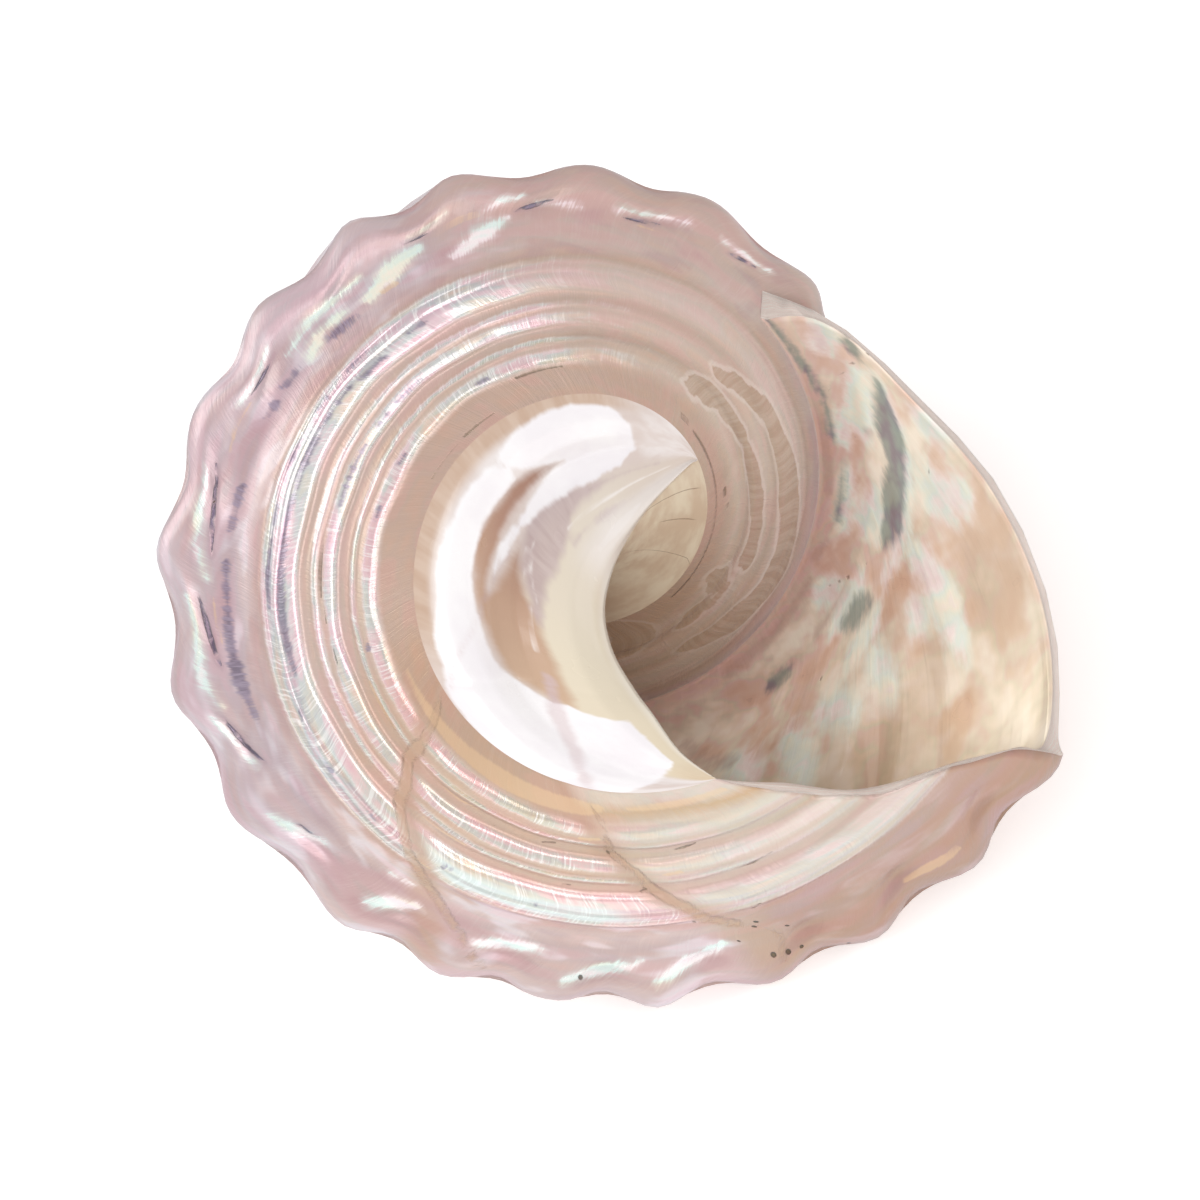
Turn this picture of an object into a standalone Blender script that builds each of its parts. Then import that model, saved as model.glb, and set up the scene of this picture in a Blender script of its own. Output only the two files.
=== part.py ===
"""A pearl turban shell: one solid with its cavity, lying on its spire and keel.

The shell is first drawn in its own frame: the tip of the spire is the origin, +Z runs
along the coiling axis from the tip to the base, and the coil grows anticlockwise seen
from the base. A shell keeps its shape as it grows, so every row of it is a spiral: a
row is given by its radius and its height in keel radii, and by how far it runs ahead
of the keel. One column of the mesh is one former edge of the lip. Lengths are in
millimetres and angles in degrees until the mesh is placed.
"""

import math

import bmesh
import bpy
import numpy as np
from mathutils import Euler

MM = 0.001

# The coil.
KEEL_RADIUS = 35.4  # radius of the keel at growth angle 0
GROWTH = 0.0838  # the keel's radius grows by e to this power in each radian
LIP_ANGLE = 337.0  # growth angle where the lip crosses the keel
WHORLS = 4.1  # turns of the keel that are drawn, from the tip's cap to the lip
CAVITY_TURN = 232.0  # how far the open cavity reaches back from the lip
COLUMNS = 84  # columns in a full turn
AHEAD = 17  # columns that the lip's upper end runs ahead of the keel
LIP_WALL = 0.024  # thickness of the wall at the lip, in keel radii
INNER_WALL = 0.04  # thickness of the wall inside, in keel radii
THICKENING = 30.0  # growth angle over which the wall gets from one to the other

# Rows of the outer surface: radius, height below the tip, degrees ahead of the keel.
UPPER_FACE = [(0.575, 0.800, 62), (0.66, 0.865, 44), (0.78, 0.968, 29), (0.90, 1.088, 13)]
KEEL = [(0.965, 1.172, 2), (0.983, 1.205, 0), (0.945, 1.245, 0)]
SEAM = [(0.88, 1.272, -1), (0.82, 1.303, -4)]  # the next whorl's wall stands between
CORDS = [
    (0.772, 1.328, -6),
    (0.735, 1.362, -9),
    (0.684, 1.364, -15),
    (0.638, 1.398, -18),
    (0.592, 1.388, -22),
    (0.558, 1.438, -24),
    (0.51, 1.440, -28),
]
CALLUS_EDGE = [(0.43, 1.490, -36.5)]

# Rows of the inner surface, from the columella's foot to the seam.
INNER_FACE = [
    (0.54, 1.412, -25),
    (0.66, 1.366, -17),
    (0.78, 1.326, -6),
    (0.90, 1.262, -1),
    (0.972, 1.205, 1),
    (0.90, 1.088, 13),
    (0.78, 0.968, 29),
    (0.66, 0.865, 44),
    (0.575, 0.800, 62),
]
INWARD = [(0.0, -1.0)] * 3 + [(-0.35, -0.95), (-1.0, 0.0)] + [(-0.5, 0.85)] * 2 + [(-0.3, 0.95)] * 2

# The inner lip's crest, from the old whorl to the basal lip, in keel radii of the lip.
CREST = [
    (48.6, 0.150, 1.008),
    (18.7, 0.0813, 1.040),
    (-25.3, 0.0763, 1.080),
    (-49.8, 0.117, 1.130),
    (-52.5, 0.176, 1.187),
    (-48.3, 0.2365, 1.250),
    (-45.3, 0.2756, 1.298),
    (-42.0, 0.3466, 1.359),
]
CREST_START = 63  # columns behind the lip where the crest leaves the old whorl
CREST_FREE = 0.3  # share of the crest, from the old whorl, that the wall doesn't lift
# Rows between the callus edge and the crest: place, height in mm, number of steps.
PATCH = [(0.12, 0.7, 36), (0.27, 0.2, 30), (0.42, -1.8, 24), (0.60, 1.2, 18), (0.82, 1.9, 14)]
PATCH_TAPER = 1.5  # how fast those heights die out towards both ends

# The keel's scallops and the folds of the upper face.
SCALLOP_CRESTS = [
    42, 66, 87, 109, 126, 144, 161, 181, 201, 219, 239, 253, 267, 280, 294, 307, 321, 335, 350,
    366, 384, 402,
]
SCALLOP_HEIGHT = 0.021  # half the height from hollow to crest, in keel radii
FOLD_OUT = 0.75  # share of that height by which a fold of the upper face stands out
FOLD_UP = 0.55  # and by which it rises towards the tip
TIP_WEAR = 1.0  # mm that the tip is worn down

# How the finished shell lies: turns about X, Y and Z from its own frame, in degrees.
LYING = (45.42, 23.46, -23.09)
PEARL = (0.74, 0.62, 0.58, 1.0)
POLISH = 0.28  # roughness of the polished pearl
LUSTRE = 0.2  # metallic share of the polished pearl
KEPT_FACES = 0.68  # share of the triangles that is kept, most of them where it curves


def smoothstep(x, low, high):
    """0 below low, 1 above high, and a smooth ramp between them."""
    t = min(max((x - low) / (high - low), 0.0), 1.0)
    return t * t * (3 - 2 * t)


def keel_radius(angle):
    """Radius of the keel at a growth angle."""
    return KEEL_RADIUS * math.exp(GROWTH * math.radians(angle))


def wave(angle):
    """The scallops: 1 on a crest, -1 in a hollow, repeated in each older turn."""
    turn = (angle - SCALLOP_CRESTS[0]) % 360 + SCALLOP_CRESTS[0]
    count = np.interp(turn, SCALLOP_CRESTS, range(len(SCALLOP_CRESTS)))
    return math.cos(2 * math.pi * count)


def point(angle, radius, height):
    """A point of the shell's own frame from its growth angle, radius and height in mm."""
    turn = math.radians(angle)
    return (radius * math.cos(turn), radius * math.sin(turn), height)


class Shell:
    """The shell's points and faces, with the names by which they are shared."""

    def __init__(self):
        self.points = []
        self.names = {}
        self.faces = []

    def add(self, name, place):
        self.names[name] = len(self.points)
        self.points.append(place)

    def face(self, *names):
        corners = []
        for name in names:
            corner = self.names[name]
            if corner not in corners:
                corners.append(corner)
        if len(corners) > 2:
            self.faces.append(corners)

    def shares(self, line):
        """How far along a line each of its points is, from 0 to 1."""
        places = np.array([self.points[self.names[name]] for name in line])
        reach = np.cumsum(np.linalg.norm(np.diff(places, axis=0), axis=1))
        return [0.0] + list(reach / reach[-1])

    def zip(self, left, right):
        """Triangles between two lines of points that run side by side."""
        left_share = self.shares(left) + [2.0]
        right_share = self.shares(right) + [2.0]
        i = j = 0
        while i < len(left) - 1 or j < len(right) - 1:
            if left_share[i + 1] <= right_share[j + 1]:
                self.face(left[i], left[i + 1], right[j])
                i += 1
            else:
                self.face(left[i], right[j + 1], right[j])
                j += 1

    def sheet(self, lines):
        """Faces between neighbouring lines of equal length."""
        for left, right in zip(lines, lines[1:]):
            for k in range(len(left) - 1):
                self.face(left[k], left[k + 1], right[k + 1], right[k])


STEP = 360 / COLUMNS
LAST = round(WHORLS * COLUMNS)  # the column at the lip
TURN = COLUMNS - AHEAD  # columns between a whorl and the one that stands on it
FIRST_OPEN = LAST - TURN  # first column whose base isn't under the next whorl
DEPTH = round(CAVITY_TURN / STEP)  # columns from the lip to the cavity's end
ROWS = [None] + UPPER_FACE + KEEL + SEAM + CORDS + CALLUS_EDGE
OUTER_SEAM = ROWS.index(SEAM[0])
INNER_SEAM = ROWS.index(SEAM[1])
KEEL_ROW = ROWS.index(KEEL[1])
CALLUS_ROW = len(ROWS) - 1
# How far the scallops reach up and down from the keel, row by row.
WAVE_OF_ROW = {
    KEEL_ROW - 5: 0.12,
    KEEL_ROW - 4: 0.3,
    KEEL_ROW - 3: 0.55,
    KEEL_ROW - 2: 0.8,
    KEEL_ROW - 1: 1.0,
    KEEL_ROW: 1.0,
    KEEL_ROW + 1: 0.75,
    OUTER_SEAM: 0.15,
}


def column_angle(column):
    """Growth angle of the keel in a column."""
    return LIP_ANGLE + (column - LAST) * STEP


def outer_point(column, row):
    """A point of the outer surface."""
    radius, height, ahead = ROWS[row]
    angle = column_angle(column) + ahead
    bump = SCALLOP_HEIGHT * WAVE_OF_ROW.get(row, 0.0) * wave(column_angle(column))
    if row < KEEL_ROW:
        radius += FOLD_OUT * bump
        height -= FOLD_UP * bump
    else:
        radius += bump
    unit = keel_radius(angle)
    return point(angle, radius * unit, height * unit)


def wall(steps_back, at_lip):
    """Thickness of the wall a number of columns behind the lip."""
    reach = THICKENING if at_lip else THICKENING / 2
    return at_lip + (INNER_WALL - at_lip) * smoothstep(steps_back * STEP, 0.0, reach)


def inner_point(steps_back, row):
    """A point of the inner surface; row 0 is the columella's foot."""
    if row == 0:
        radius, height, ahead = CALLUS_EDGE[0]
        height -= wall(steps_back, 0.0)
    else:
        radius, height, ahead = INNER_FACE[row - 1]
        across, along = INWARD[row - 1]
        thickness = wall(steps_back, LIP_WALL)
        radius += across * thickness
        height += along * thickness
    angle = column_angle(LAST - steps_back) + ahead
    unit = keel_radius(angle)
    return point(angle, radius * unit, height * unit)


def pillar_point(steps_back, row):
    """A point of the crest, or of the pillar that the crest leaves behind as it grows."""
    ahead, radius, height = CREST[row - 1]
    place = row / (len(CREST) + 1)
    height -= wall(steps_back, 0.0) * smoothstep(place, CREST_FREE, 1.0)
    angle = LIP_ANGLE - steps_back * STEP
    unit = keel_radius(angle)
    return point(angle + ahead, radius * unit, height * unit)


def outer_name(column, row):
    """Name of a point of the outer surface; the first row stands on the older whorl."""
    if row:
        return ("outer", column, row)
    return ("outer", column - TURN, OUTER_SEAM) if column >= TURN else "tip"


def along_line(places, share):
    """The point at a share of the way along a line of points, counted in steps."""
    spot = share * (len(places) - 1)
    steps = range(len(places))
    return np.array([np.interp(spot, steps, places[:, axis]) for axis in range(3)])


def build_shell():
    """All points and faces of the shell, in its own frame, in mm."""
    shell = Shell()
    shell.add("tip", (0.0, 0.0, TIP_WEAR))
    deepest = FIRST_OPEN - DEPTH
    for column in range(LAST + 1):
        for row in range(1, len(ROWS)):
            if row <= OUTER_SEAM or column >= deepest:
                shell.add(("outer", column, row), outer_point(column, row))

    # Outside: the spiral from seam to seam, and the base of the last whorl.
    spiral = [[outer_name(c, r) for r in range(OUTER_SEAM + 1)] for c in range(LAST + 1)]
    shell.sheet(spiral)
    shell.faces.append([shell.names[name] for name in spiral[0]])
    open_seam = [[outer_name(c, r) for r in (OUTER_SEAM, INNER_SEAM)] for c in range(FIRST_OPEN, LAST + 1)]
    shell.sheet(open_seam)
    base_rows = range(INNER_SEAM, CALLUS_ROW + 1)
    shell.sheet([[outer_name(c, r) for r in base_rows] for c in range(deepest, LAST + 1)])

    # Inside: the wall from the columella's foot to the seam, and the pillar.
    crest_column = LAST - CREST_START
    sections = []
    for back in range(DEPTH + 1):
        foot = outer_name(LAST, CALLUS_ROW)
        if back:
            foot = ("inner", back, 0)
            shell.add(foot, inner_point(back, 0))
        section = [outer_name(crest_column - back, CALLUS_ROW)]
        for row in range(1, len(CREST) + 1):
            shell.add(("pillar", back, row), pillar_point(back, row))
            section.append(("pillar", back, row))
        section.append(foot)
        for row in range(1, len(INNER_FACE) + 1):
            shell.add(("inner", back, row), inner_point(back, row))
            section.append(("inner", back, row))
        section.append(outer_name(FIRST_OPEN - back, INNER_SEAM))
        sections.append(section)
    shell.sheet(sections)

    # The cavity's blind end.
    end = sections[-1] + [outer_name(deepest, r) for r in range(INNER_SEAM + 1, CALLUS_ROW + 1)]
    end += [outer_name(c, CALLUS_ROW) for c in range(deepest + 1, crest_column - DEPTH)]
    middle = np.mean([shell.points[shell.names[name]] for name in end], axis=0)
    shell.add("end", tuple(middle))
    for here, there in zip(end, end[1:] + end[:1]):
        shell.face("end", here, there)

    # The lip's rim.
    outer_edge = [outer_name(LAST, r) for r in range(CALLUS_ROW + 1)]
    inner_edge = sections[0][:len(CREST):-1]
    shell.zip(outer_edge, inner_edge)

    # The callus, the groove and the columella, between the callus edge and the crest.
    callus = [outer_name(c, CALLUS_ROW) for c in range(crest_column, LAST + 1)]
    crest = sections[0][:len(CREST) + 2]
    callus_places = np.array([shell.points[shell.names[name]] for name in callus])
    crest_places = np.array([shell.points[shell.names[name]] for name in crest])
    lines = [callus]
    for number, (place, lift, steps) in enumerate(PATCH):
        line = [callus[0]]
        for k in range(1, steps):
            along = k / steps
            spot = (1 - place) * along_line(callus_places, along)
            spot += place * along_line(crest_places, along)
            spot[2] += lift * math.sin(math.pi * along) ** PATCH_TAPER
            shell.add(("patch", number, k), tuple(spot))
            line.append(("patch", number, k))
        lines.append(line + [callus[-1]])
    for left, right in zip(lines, lines[1:] + [crest]):
        shell.zip(left, right)
    return shell


def pearl_material():
    """Pale pink mother-of-pearl."""
    material = bpy.data.materials.new("nacre")
    material.use_nodes = True
    shader = material.node_tree.nodes["Principled BSDF"]
    shader.inputs["Base Color"].default_value = PEARL
    shader.inputs["Roughness"].default_value = POLISH
    shader.inputs["Metallic"].default_value = LUSTRE
    return material


def main():
    for old in list(bpy.data.objects):
        bpy.data.objects.remove(old)
    shell = build_shell()
    turn = np.array(Euler([math.radians(a) for a in LYING], "XYZ").to_matrix())
    places = np.array(shell.points) @ turn.T
    low = places.min(axis=0)
    high = places.max(axis=0)
    places -= [(low[0] + high[0]) / 2, (low[1] + high[1]) / 2, low[2]]
    mesh = bpy.data.meshes.new("shell")
    mesh.from_pydata([tuple(p) for p in places * MM], [], shell.faces)
    solid = bmesh.new()
    solid.from_mesh(mesh)
    bmesh.ops.triangulate(solid, faces=solid.faces[:])
    bmesh.ops.recalc_face_normals(solid, faces=solid.faces[:])
    solid.to_mesh(mesh)
    solid.free()
    mesh.shade_smooth()
    mesh.materials.append(pearl_material())
    shell_object = bpy.data.objects.new("shell", mesh)
    bpy.context.collection.objects.link(shell_object)
    shell_object.modifiers.new("fewer_faces", "DECIMATE").ratio = KEPT_FACES
    print("columns", LAST, "points", len(places), "size in mm", np.round(high - low, 2))


main()
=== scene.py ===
# %% [markdown]
# # A pearl turban shell
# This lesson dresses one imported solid, a turban shell that lies on its spire and keel.
# The solid has the right size and place but few faces, so a finely meshed shell drawn
# from the same rules of growth takes its place, and gets a mother-of-pearl finish.

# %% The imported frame
import math

import bmesh
import bpy
import numpy as np
from mathutils import Euler, Matrix, Vector


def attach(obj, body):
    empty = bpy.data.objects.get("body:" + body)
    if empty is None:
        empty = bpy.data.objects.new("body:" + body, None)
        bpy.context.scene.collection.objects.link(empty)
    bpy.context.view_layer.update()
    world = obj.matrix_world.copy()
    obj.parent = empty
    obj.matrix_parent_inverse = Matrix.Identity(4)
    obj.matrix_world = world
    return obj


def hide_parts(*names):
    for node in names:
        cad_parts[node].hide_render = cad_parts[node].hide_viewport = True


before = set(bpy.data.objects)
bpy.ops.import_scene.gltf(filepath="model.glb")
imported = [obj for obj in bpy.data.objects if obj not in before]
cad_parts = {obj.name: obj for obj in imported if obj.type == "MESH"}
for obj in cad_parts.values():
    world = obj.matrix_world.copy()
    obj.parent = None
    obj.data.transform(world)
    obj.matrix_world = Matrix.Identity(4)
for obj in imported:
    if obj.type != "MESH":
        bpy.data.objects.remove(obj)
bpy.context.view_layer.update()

# %% [markdown]
# ## How the coil grows
# A shell keeps its shape while it grows, so each line of it is a spiral that widens by
# the same share in every degree of turn. It could be sculpted, or made with a Screw
# modifier, but neither gives a coil that widens. Formulas do: a point is given by its
# growth angle, and by its radius and height counted in keel radii.

# %% The coil's driving sizes, in mm and degrees
MM = 0.001
KEEL_RADIUS = 35.4
GROWTH = 0.0838
LIP_ANGLE = 337.0
SEAM_AHEAD = 72.857
STEP = 1.5
WHORLS = 5.2
TURN_COLUMNS = round((360 - SEAM_AHEAD) / STEP)
LAST = round(WHORLS * 360 / STEP)
FIRST_OPEN = LAST - TURN_COLUMNS
CAVITY_DEGREES = 229
CREST_DEGREES = 270
DEPTH_COLUMNS = round(CAVITY_DEGREES / STEP)
CREST_START = round(CREST_DEGREES / STEP)
ONE_TURN = math.exp(2 * math.pi * GROWTH)


def keel_radius(angle):
    """Radius of the keel, in mm, at growth angles in degrees."""
    return KEEL_RADIUS * np.exp(GROWTH * np.radians(angle))


def column_angle(column):
    """Growth angle of the keel at a column, which is one former edge of the lip."""
    return LIP_ANGLE + (np.asarray(column, float) - LAST) * STEP


print("each turn widens by", round(ONE_TURN, 3), "and the lip's keel stands at",
      round(float(keel_radius(LIP_ANGLE)), 1), "mm")

# %% [markdown]
# ## The profile of a whorl
# Seen in section, a whorl runs from the seam down its upper face to the keel, turns
# inward over the corded base, and ends at the callus beside the columella. A few points
# hold that line and a smooth spline is read between them. The third number says how far
# the lip leans ahead of the keel there.

# %% The outer profile: radius, height below the tip, degrees ahead
SEAM = [(0.88, 1.272, -1), (0.82, 1.303, -4)]
PROFILE = [
    (SEAM[0][0] / ONE_TURN, SEAM[0][1] / ONE_TURN, SEAM_AHEAD - 1),
    (0.575, 0.800, 62),
    (0.66, 0.865, 44),
    (0.78, 0.968, 29),
    (0.90, 1.088, 13),
    (0.965, 1.172, 2),
    (0.983, 1.205, 0),
    (0.945, 1.245, 0),
    SEAM[0],
    SEAM[1],
    (0.772, 1.333, -6),
    (0.735, 1.356, -9),
    (0.684, 1.376, -15),
    (0.638, 1.394, -18),
    (0.592, 1.406, -22),
    (0.558, 1.428, -24),
    (0.51, 1.452, -28),
    (0.43, 1.490, -36.5),
]
KEEL_ROW, OUTER_SEAM, INNER_SEAM, CALLUS_ROW = 6, 8, 9, 17


def spline(points, place):
    """A Catmull-Rom curve through points numbered 0, 1, 2 and so on."""
    points = np.array(points, float)
    place = np.asarray(place, float)
    i = np.clip(np.floor(place).astype(int), 0, len(points) - 2)
    t = (place - i)[..., None]
    last = len(points) - 1
    p0, p1, p2, p3 = (points[np.clip(i + k, 0, last)] for k in (-1, 0, 1, 2))
    return 0.5 * (2 * p1 + (p2 - p0) * t + (2 * p0 - 5 * p1 + 4 * p2 - p3) * t**2
                  + (3 * p1 - p0 - 3 * p2 + p3) * t**3)


def smoothstep(x, low, high):
    """0 below low, 1 above high, and a smooth ramp between them."""
    t = np.clip((np.asarray(x, float) - low) / (high - low), 0, 1)
    return t * t * (3 - 2 * t)


def polar(angle, radius, height):
    """Points of the shell's own frame from growth angle, radius and height."""
    turn = np.radians(angle)
    return np.stack(np.broadcast_arrays(radius * np.cos(turn), radius * np.sin(turn), height), -1)


print("profile rows:", len(PROFILE), "the keel is row", KEEL_ROW)

# %% [markdown]
# ## Scallops, folds and cords
# The keel of this shell is wavy: each scallop was built as a fold of the upper face that
# ends in a lump on the keel. The spacing isn't even, so the crests are listed by their
# growth angles and a cosine runs between them. The base carries three flat-topped cords
# that start low near the seam and stand highest on the far side of the columella.

# %% Where the crests of the scallops stand, and how strong each is
SCALLOP_CRESTS = [42, 66, 87, 109, 126, 144, 161, 181, 201, 219, 239, 253, 267, 280, 294,
                  307, 321, 335, 350, 366, 384, 402]
SCALLOP_FORCE = [1.1, 0.75, 0.8, 1.2, 1.35, 0.9, 0.7, 1.15, 1.2, 1.0, 0.95, 0.8, 0.45, 1.1,
                 0.85, 1.0, 1.05, 0.95, 0.8, 0.7, 0.8, 1.1]
SCALLOP_HEIGHT = 0.021


def scallop_count(angle):
    """How many scallops a growth angle lies past the first one of its turn."""
    turn = (angle - SCALLOP_CRESTS[0]) % 360 + SCALLOP_CRESTS[0]
    return np.interp(turn, SCALLOP_CRESTS, range(len(SCALLOP_CRESTS)))


def wave(angle):
    """The scallops: 1 on a crest of mean force and -1 in a hollow."""
    count = scallop_count(angle)
    force = np.interp(count, range(len(SCALLOP_FORCE)), SCALLOP_FORCE)
    swing = np.cos(2 * np.pi * count)
    return np.where(swing > 0, swing * force, swing)


def bump(x, start, stop, edge):
    """A flat-topped ridge of height 1 from start to stop, with soft shoulders."""
    return smoothstep(x, start - edge, start + edge) * (1 - smoothstep(x, stop - edge, stop + edge))


def dent(x, middle, half):
    """A smooth dent or hump of height 1 around middle."""
    return np.exp(-((np.asarray(x, float) - middle) / half) ** 2)


# Each cord: first row, last row, height in keel radii, and the rows of its fine grooves.
CORDS = [(10.0, 11.85, 0.0125, (10.36, 10.98)), (12.48, 13.72, 0.0110, (12.88,)),
         (14.62, 15.86, 0.0090, (15.04,))]
CORD_SHOULDER = 0.17
GROOVE_DEPTH, GROOVE_HALF = 0.42, 0.15
# Where the animal paused: growth angle, how strongly it marks the cords.
PAUSES = [(250.0, 0.9), (296.5, 0.75), (46.0, 0.3), (132.0, 0.25)]
PAUSE_DEPTH = 0.004


def pause(angle, width):
    """How close a growth angle of the last whorl is to a pause, from 0 to 1."""
    return sum(force * dent(angle, middle, width) for middle, force in PAUSES)


def cord_relief(row, angle):
    """Height of the cords over the smooth base, in keel radii."""
    wobble = 0.07 * np.sin(np.radians(angle * 7.3)) + 0.05 * np.sin(np.radians(angle * 17))
    spot = row + wobble + 0.12 * smoothstep(angle, 247, 252) - 0.10 * smoothstep(angle, 294, 299)
    strength = (0.26 + 0.74 * smoothstep(angle, 84, 134) - 0.45 * smoothstep(angle, 296, 326))
    relief = 0.0
    for start, stop, height, grooves in CORDS:
        cord = bump(spot, start, stop, CORD_SHOULDER)
        for groove in grooves:
            cord = cord - GROOVE_DEPTH * dent(spot, groove, GROOVE_HALF)
        relief = relief + height * cord
    level = 1 - np.minimum(pause(angle, 3.2), 1)
    return relief * strength * level - PAUSE_DEPTH * pause(angle, 1.8)


print("scallops in a turn:", len(SCALLOP_CRESTS) - 1, "cords:", len(CORDS))

# %% [markdown]
# ## The outer surface as a function
# One function gives any point outside: the spline of the profile, then the scallops that
# fade away from the keel, then the cords. Working on whole arrays of angles and rows at
# once keeps it quick in numpy.

# %% A point of the outer surface
WAVE_REACH = [0.0, 0.12, 0.3, 0.55, 0.8, 1.0, 1.0, 0.78, 0.15] + [0.0] * 9
# Depths in keel radii: a flute under the keel, the trough all along it, and a second one.
FLUTE_DEPTH, TROUGH_DEPTH, SECOND_TROUGH_DEPTH = 0.015, 0.007, 0.006


def outer_surface(column, row):
    """Points of the outer surface at columns and profile rows."""
    column, row = np.broadcast_arrays(np.asarray(column, float), np.asarray(row, float))
    radius, height, ahead = np.moveaxis(spline(PROFILE, row), -1, 0)
    here = column_angle(column)
    angle = here + ahead
    swing = SCALLOP_HEIGHT * wave(here) * np.interp(row, range(len(WAVE_REACH)), WAVE_REACH)
    above = row < KEEL_ROW
    # Folds of the upper face, and the flutes they leave under the keel.
    radius = radius + np.where(above, 0.75 * swing, swing)
    height = height - np.where(above, 0.55 * swing, 0.25 * swing)
    count = scallop_count(here)
    slant = 7.75 + 1.4 * (count % 1 - 0.5)
    flute = (dent(row, slant, 0.30) * dent(count % 1, 0.5, 0.28) * FLUTE_DEPTH
             + dent(row, 7.7, 0.6) * TROUGH_DEPTH)
    second = dent(row, 8.75, 0.5) * SECOND_TROUGH_DEPTH
    below = smoothstep(row, KEEL_ROW, KEEL_ROW + 1)
    height = height - (flute + second) * below
    height = height + np.where(row > INNER_SEAM, cord_relief(row, here), 0.0)
    unit = keel_radius(angle)
    return polar(angle, radius * unit, height * unit)


print("keel point at the lip:", outer_surface(LAST, KEEL_ROW).round(1))

# %% [markdown]
# ## The inside of the shell
# The wall is thin at the lip and thicker inside. Its inner face could be made with a
# Solidify modifier, but that knows nothing of the columella. Here the inner face has its
# own smoother profile, set inward by the wall's thickness.

# %% Inner wall and pillar as functions
INNER_PROFILE = [
    (0.43, 1.490, -36.5),
    (0.54, 1.412, -25),
    (0.66, 1.366, -17),
    (0.78, 1.326, -6),
    (0.90, 1.262, -1),
    (0.972, 1.205, 1),
    (0.90, 1.088, 13),
    (0.78, 0.968, 29),
    (0.66, 0.865, 44),
    (0.575, 0.800, 62),
    (SEAM[1][0] / ONE_TURN, SEAM[1][1] / ONE_TURN, SEAM_AHEAD - 4),
]
INWARD = ([(0.0, -1.0)] * 4 + [(-0.35, -0.95), (-1.0, 0.0)] + [(-0.5, 0.85)] * 2
          + [(-0.3, 0.95)] * 2 + [(0.0, 0.0)])
LIP_WALL = [0.0] + [0.024] * 9 + [0.0]
INNER_WALL = [0.04] * 10 + [0.0]
THICKENING = 30.0
SWELL, CREST_DROP = 0.0015, 0.04

# The inner lip's crest, from the old whorl to the basal lip, in keel radii of the lip.
CREST = [
    (55.0, 0.2752, 0.955),
    (48.6, 0.150, 1.008),
    (18.7, 0.0813, 1.040),
    (-25.3, 0.0763, 1.080),
    (-49.8, 0.117, 1.130),
    (-52.5, 0.176, 1.187),
    (-48.3, 0.2365, 1.250),
    (-45.3, 0.2756, 1.298),
    (-42.0, 0.3466, 1.359),
    (-36.5, 0.4077, 1.418),
]


def inner_surface(back, row):
    """Points of the inner wall, back degrees behind the lip; row 0 is the foot."""
    back, row = np.broadcast_arrays(np.asarray(back, float), np.asarray(row, float))
    radius, height, ahead = np.moveaxis(spline(INNER_PROFILE, row), -1, 0)
    across, along = np.moveaxis(spline(INWARD, row), -1, 0)
    rows = range(len(LIP_WALL))
    reach = np.where(row < 1, THICKENING / 2 * (1 + row), THICKENING)
    at_lip = np.interp(row, rows, LIP_WALL)
    wall = at_lip + (np.interp(row, rows, INNER_WALL) - at_lip) * smoothstep(back / reach, 0, 1)
    angle = LIP_ANGLE - back + ahead
    # The folds of the wall show inside as soft swells.
    swell = SWELL * wave(LIP_ANGLE - back) * smoothstep(row, 3, 5) * smoothstep(9.5 - row, 0, 3)
    radius = radius + across * wall + 0.6 * swell
    height = height + along * wall - 0.5 * swell * smoothstep(row, 5, 6)
    unit = keel_radius(angle)
    return polar(angle, radius * unit, height * unit)


def pillar_surface(back, place):
    """The crest, and the pillar it leaves behind; place runs 0 to 1 towards the lip."""
    back, place = np.broadcast_arrays(np.asarray(back, float), np.asarray(place, float))
    crest = np.array(CREST, float)
    flat = np.stack([crest[:, 1] * np.cos(np.radians(crest[:, 0])),
                     crest[:, 1] * np.sin(np.radians(crest[:, 0])), crest[:, 2]], -1)
    x, y, height = np.moveaxis(spline(flat, place * (len(CREST) - 1)), -1, 0)
    height = height - CREST_DROP * smoothstep(back, 0, THICKENING / 2) * smoothstep(place, 0.3, 1)
    angle = LIP_ANGLE - back
    unit = keel_radius(angle)
    turn = np.radians(angle)
    return np.stack([(x * np.cos(turn) - y * np.sin(turn)) * unit,
                     (x * np.sin(turn) + y * np.cos(turn)) * unit, height * unit], -1)


print("inner profile rows:", len(INNER_PROFILE), "crest points:", len(CREST))

# %% [markdown]
# ## One mesh with shared edges
# The shell is one body, so its mesh has to be closed. The surface is sewn from sheets,
# and neighbouring sheets use the same points where they meet. Every face corner also
# keeps its own place on the coil: growth angle, row, and the number of its sheet. The
# materials read that, so stripes follow the growth of the shell.

# %% Sewing sheets together
OUTSIDE, PORCELAIN, PILLAR, WALL, OLD_WHORL, RIM = range(6)


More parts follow.
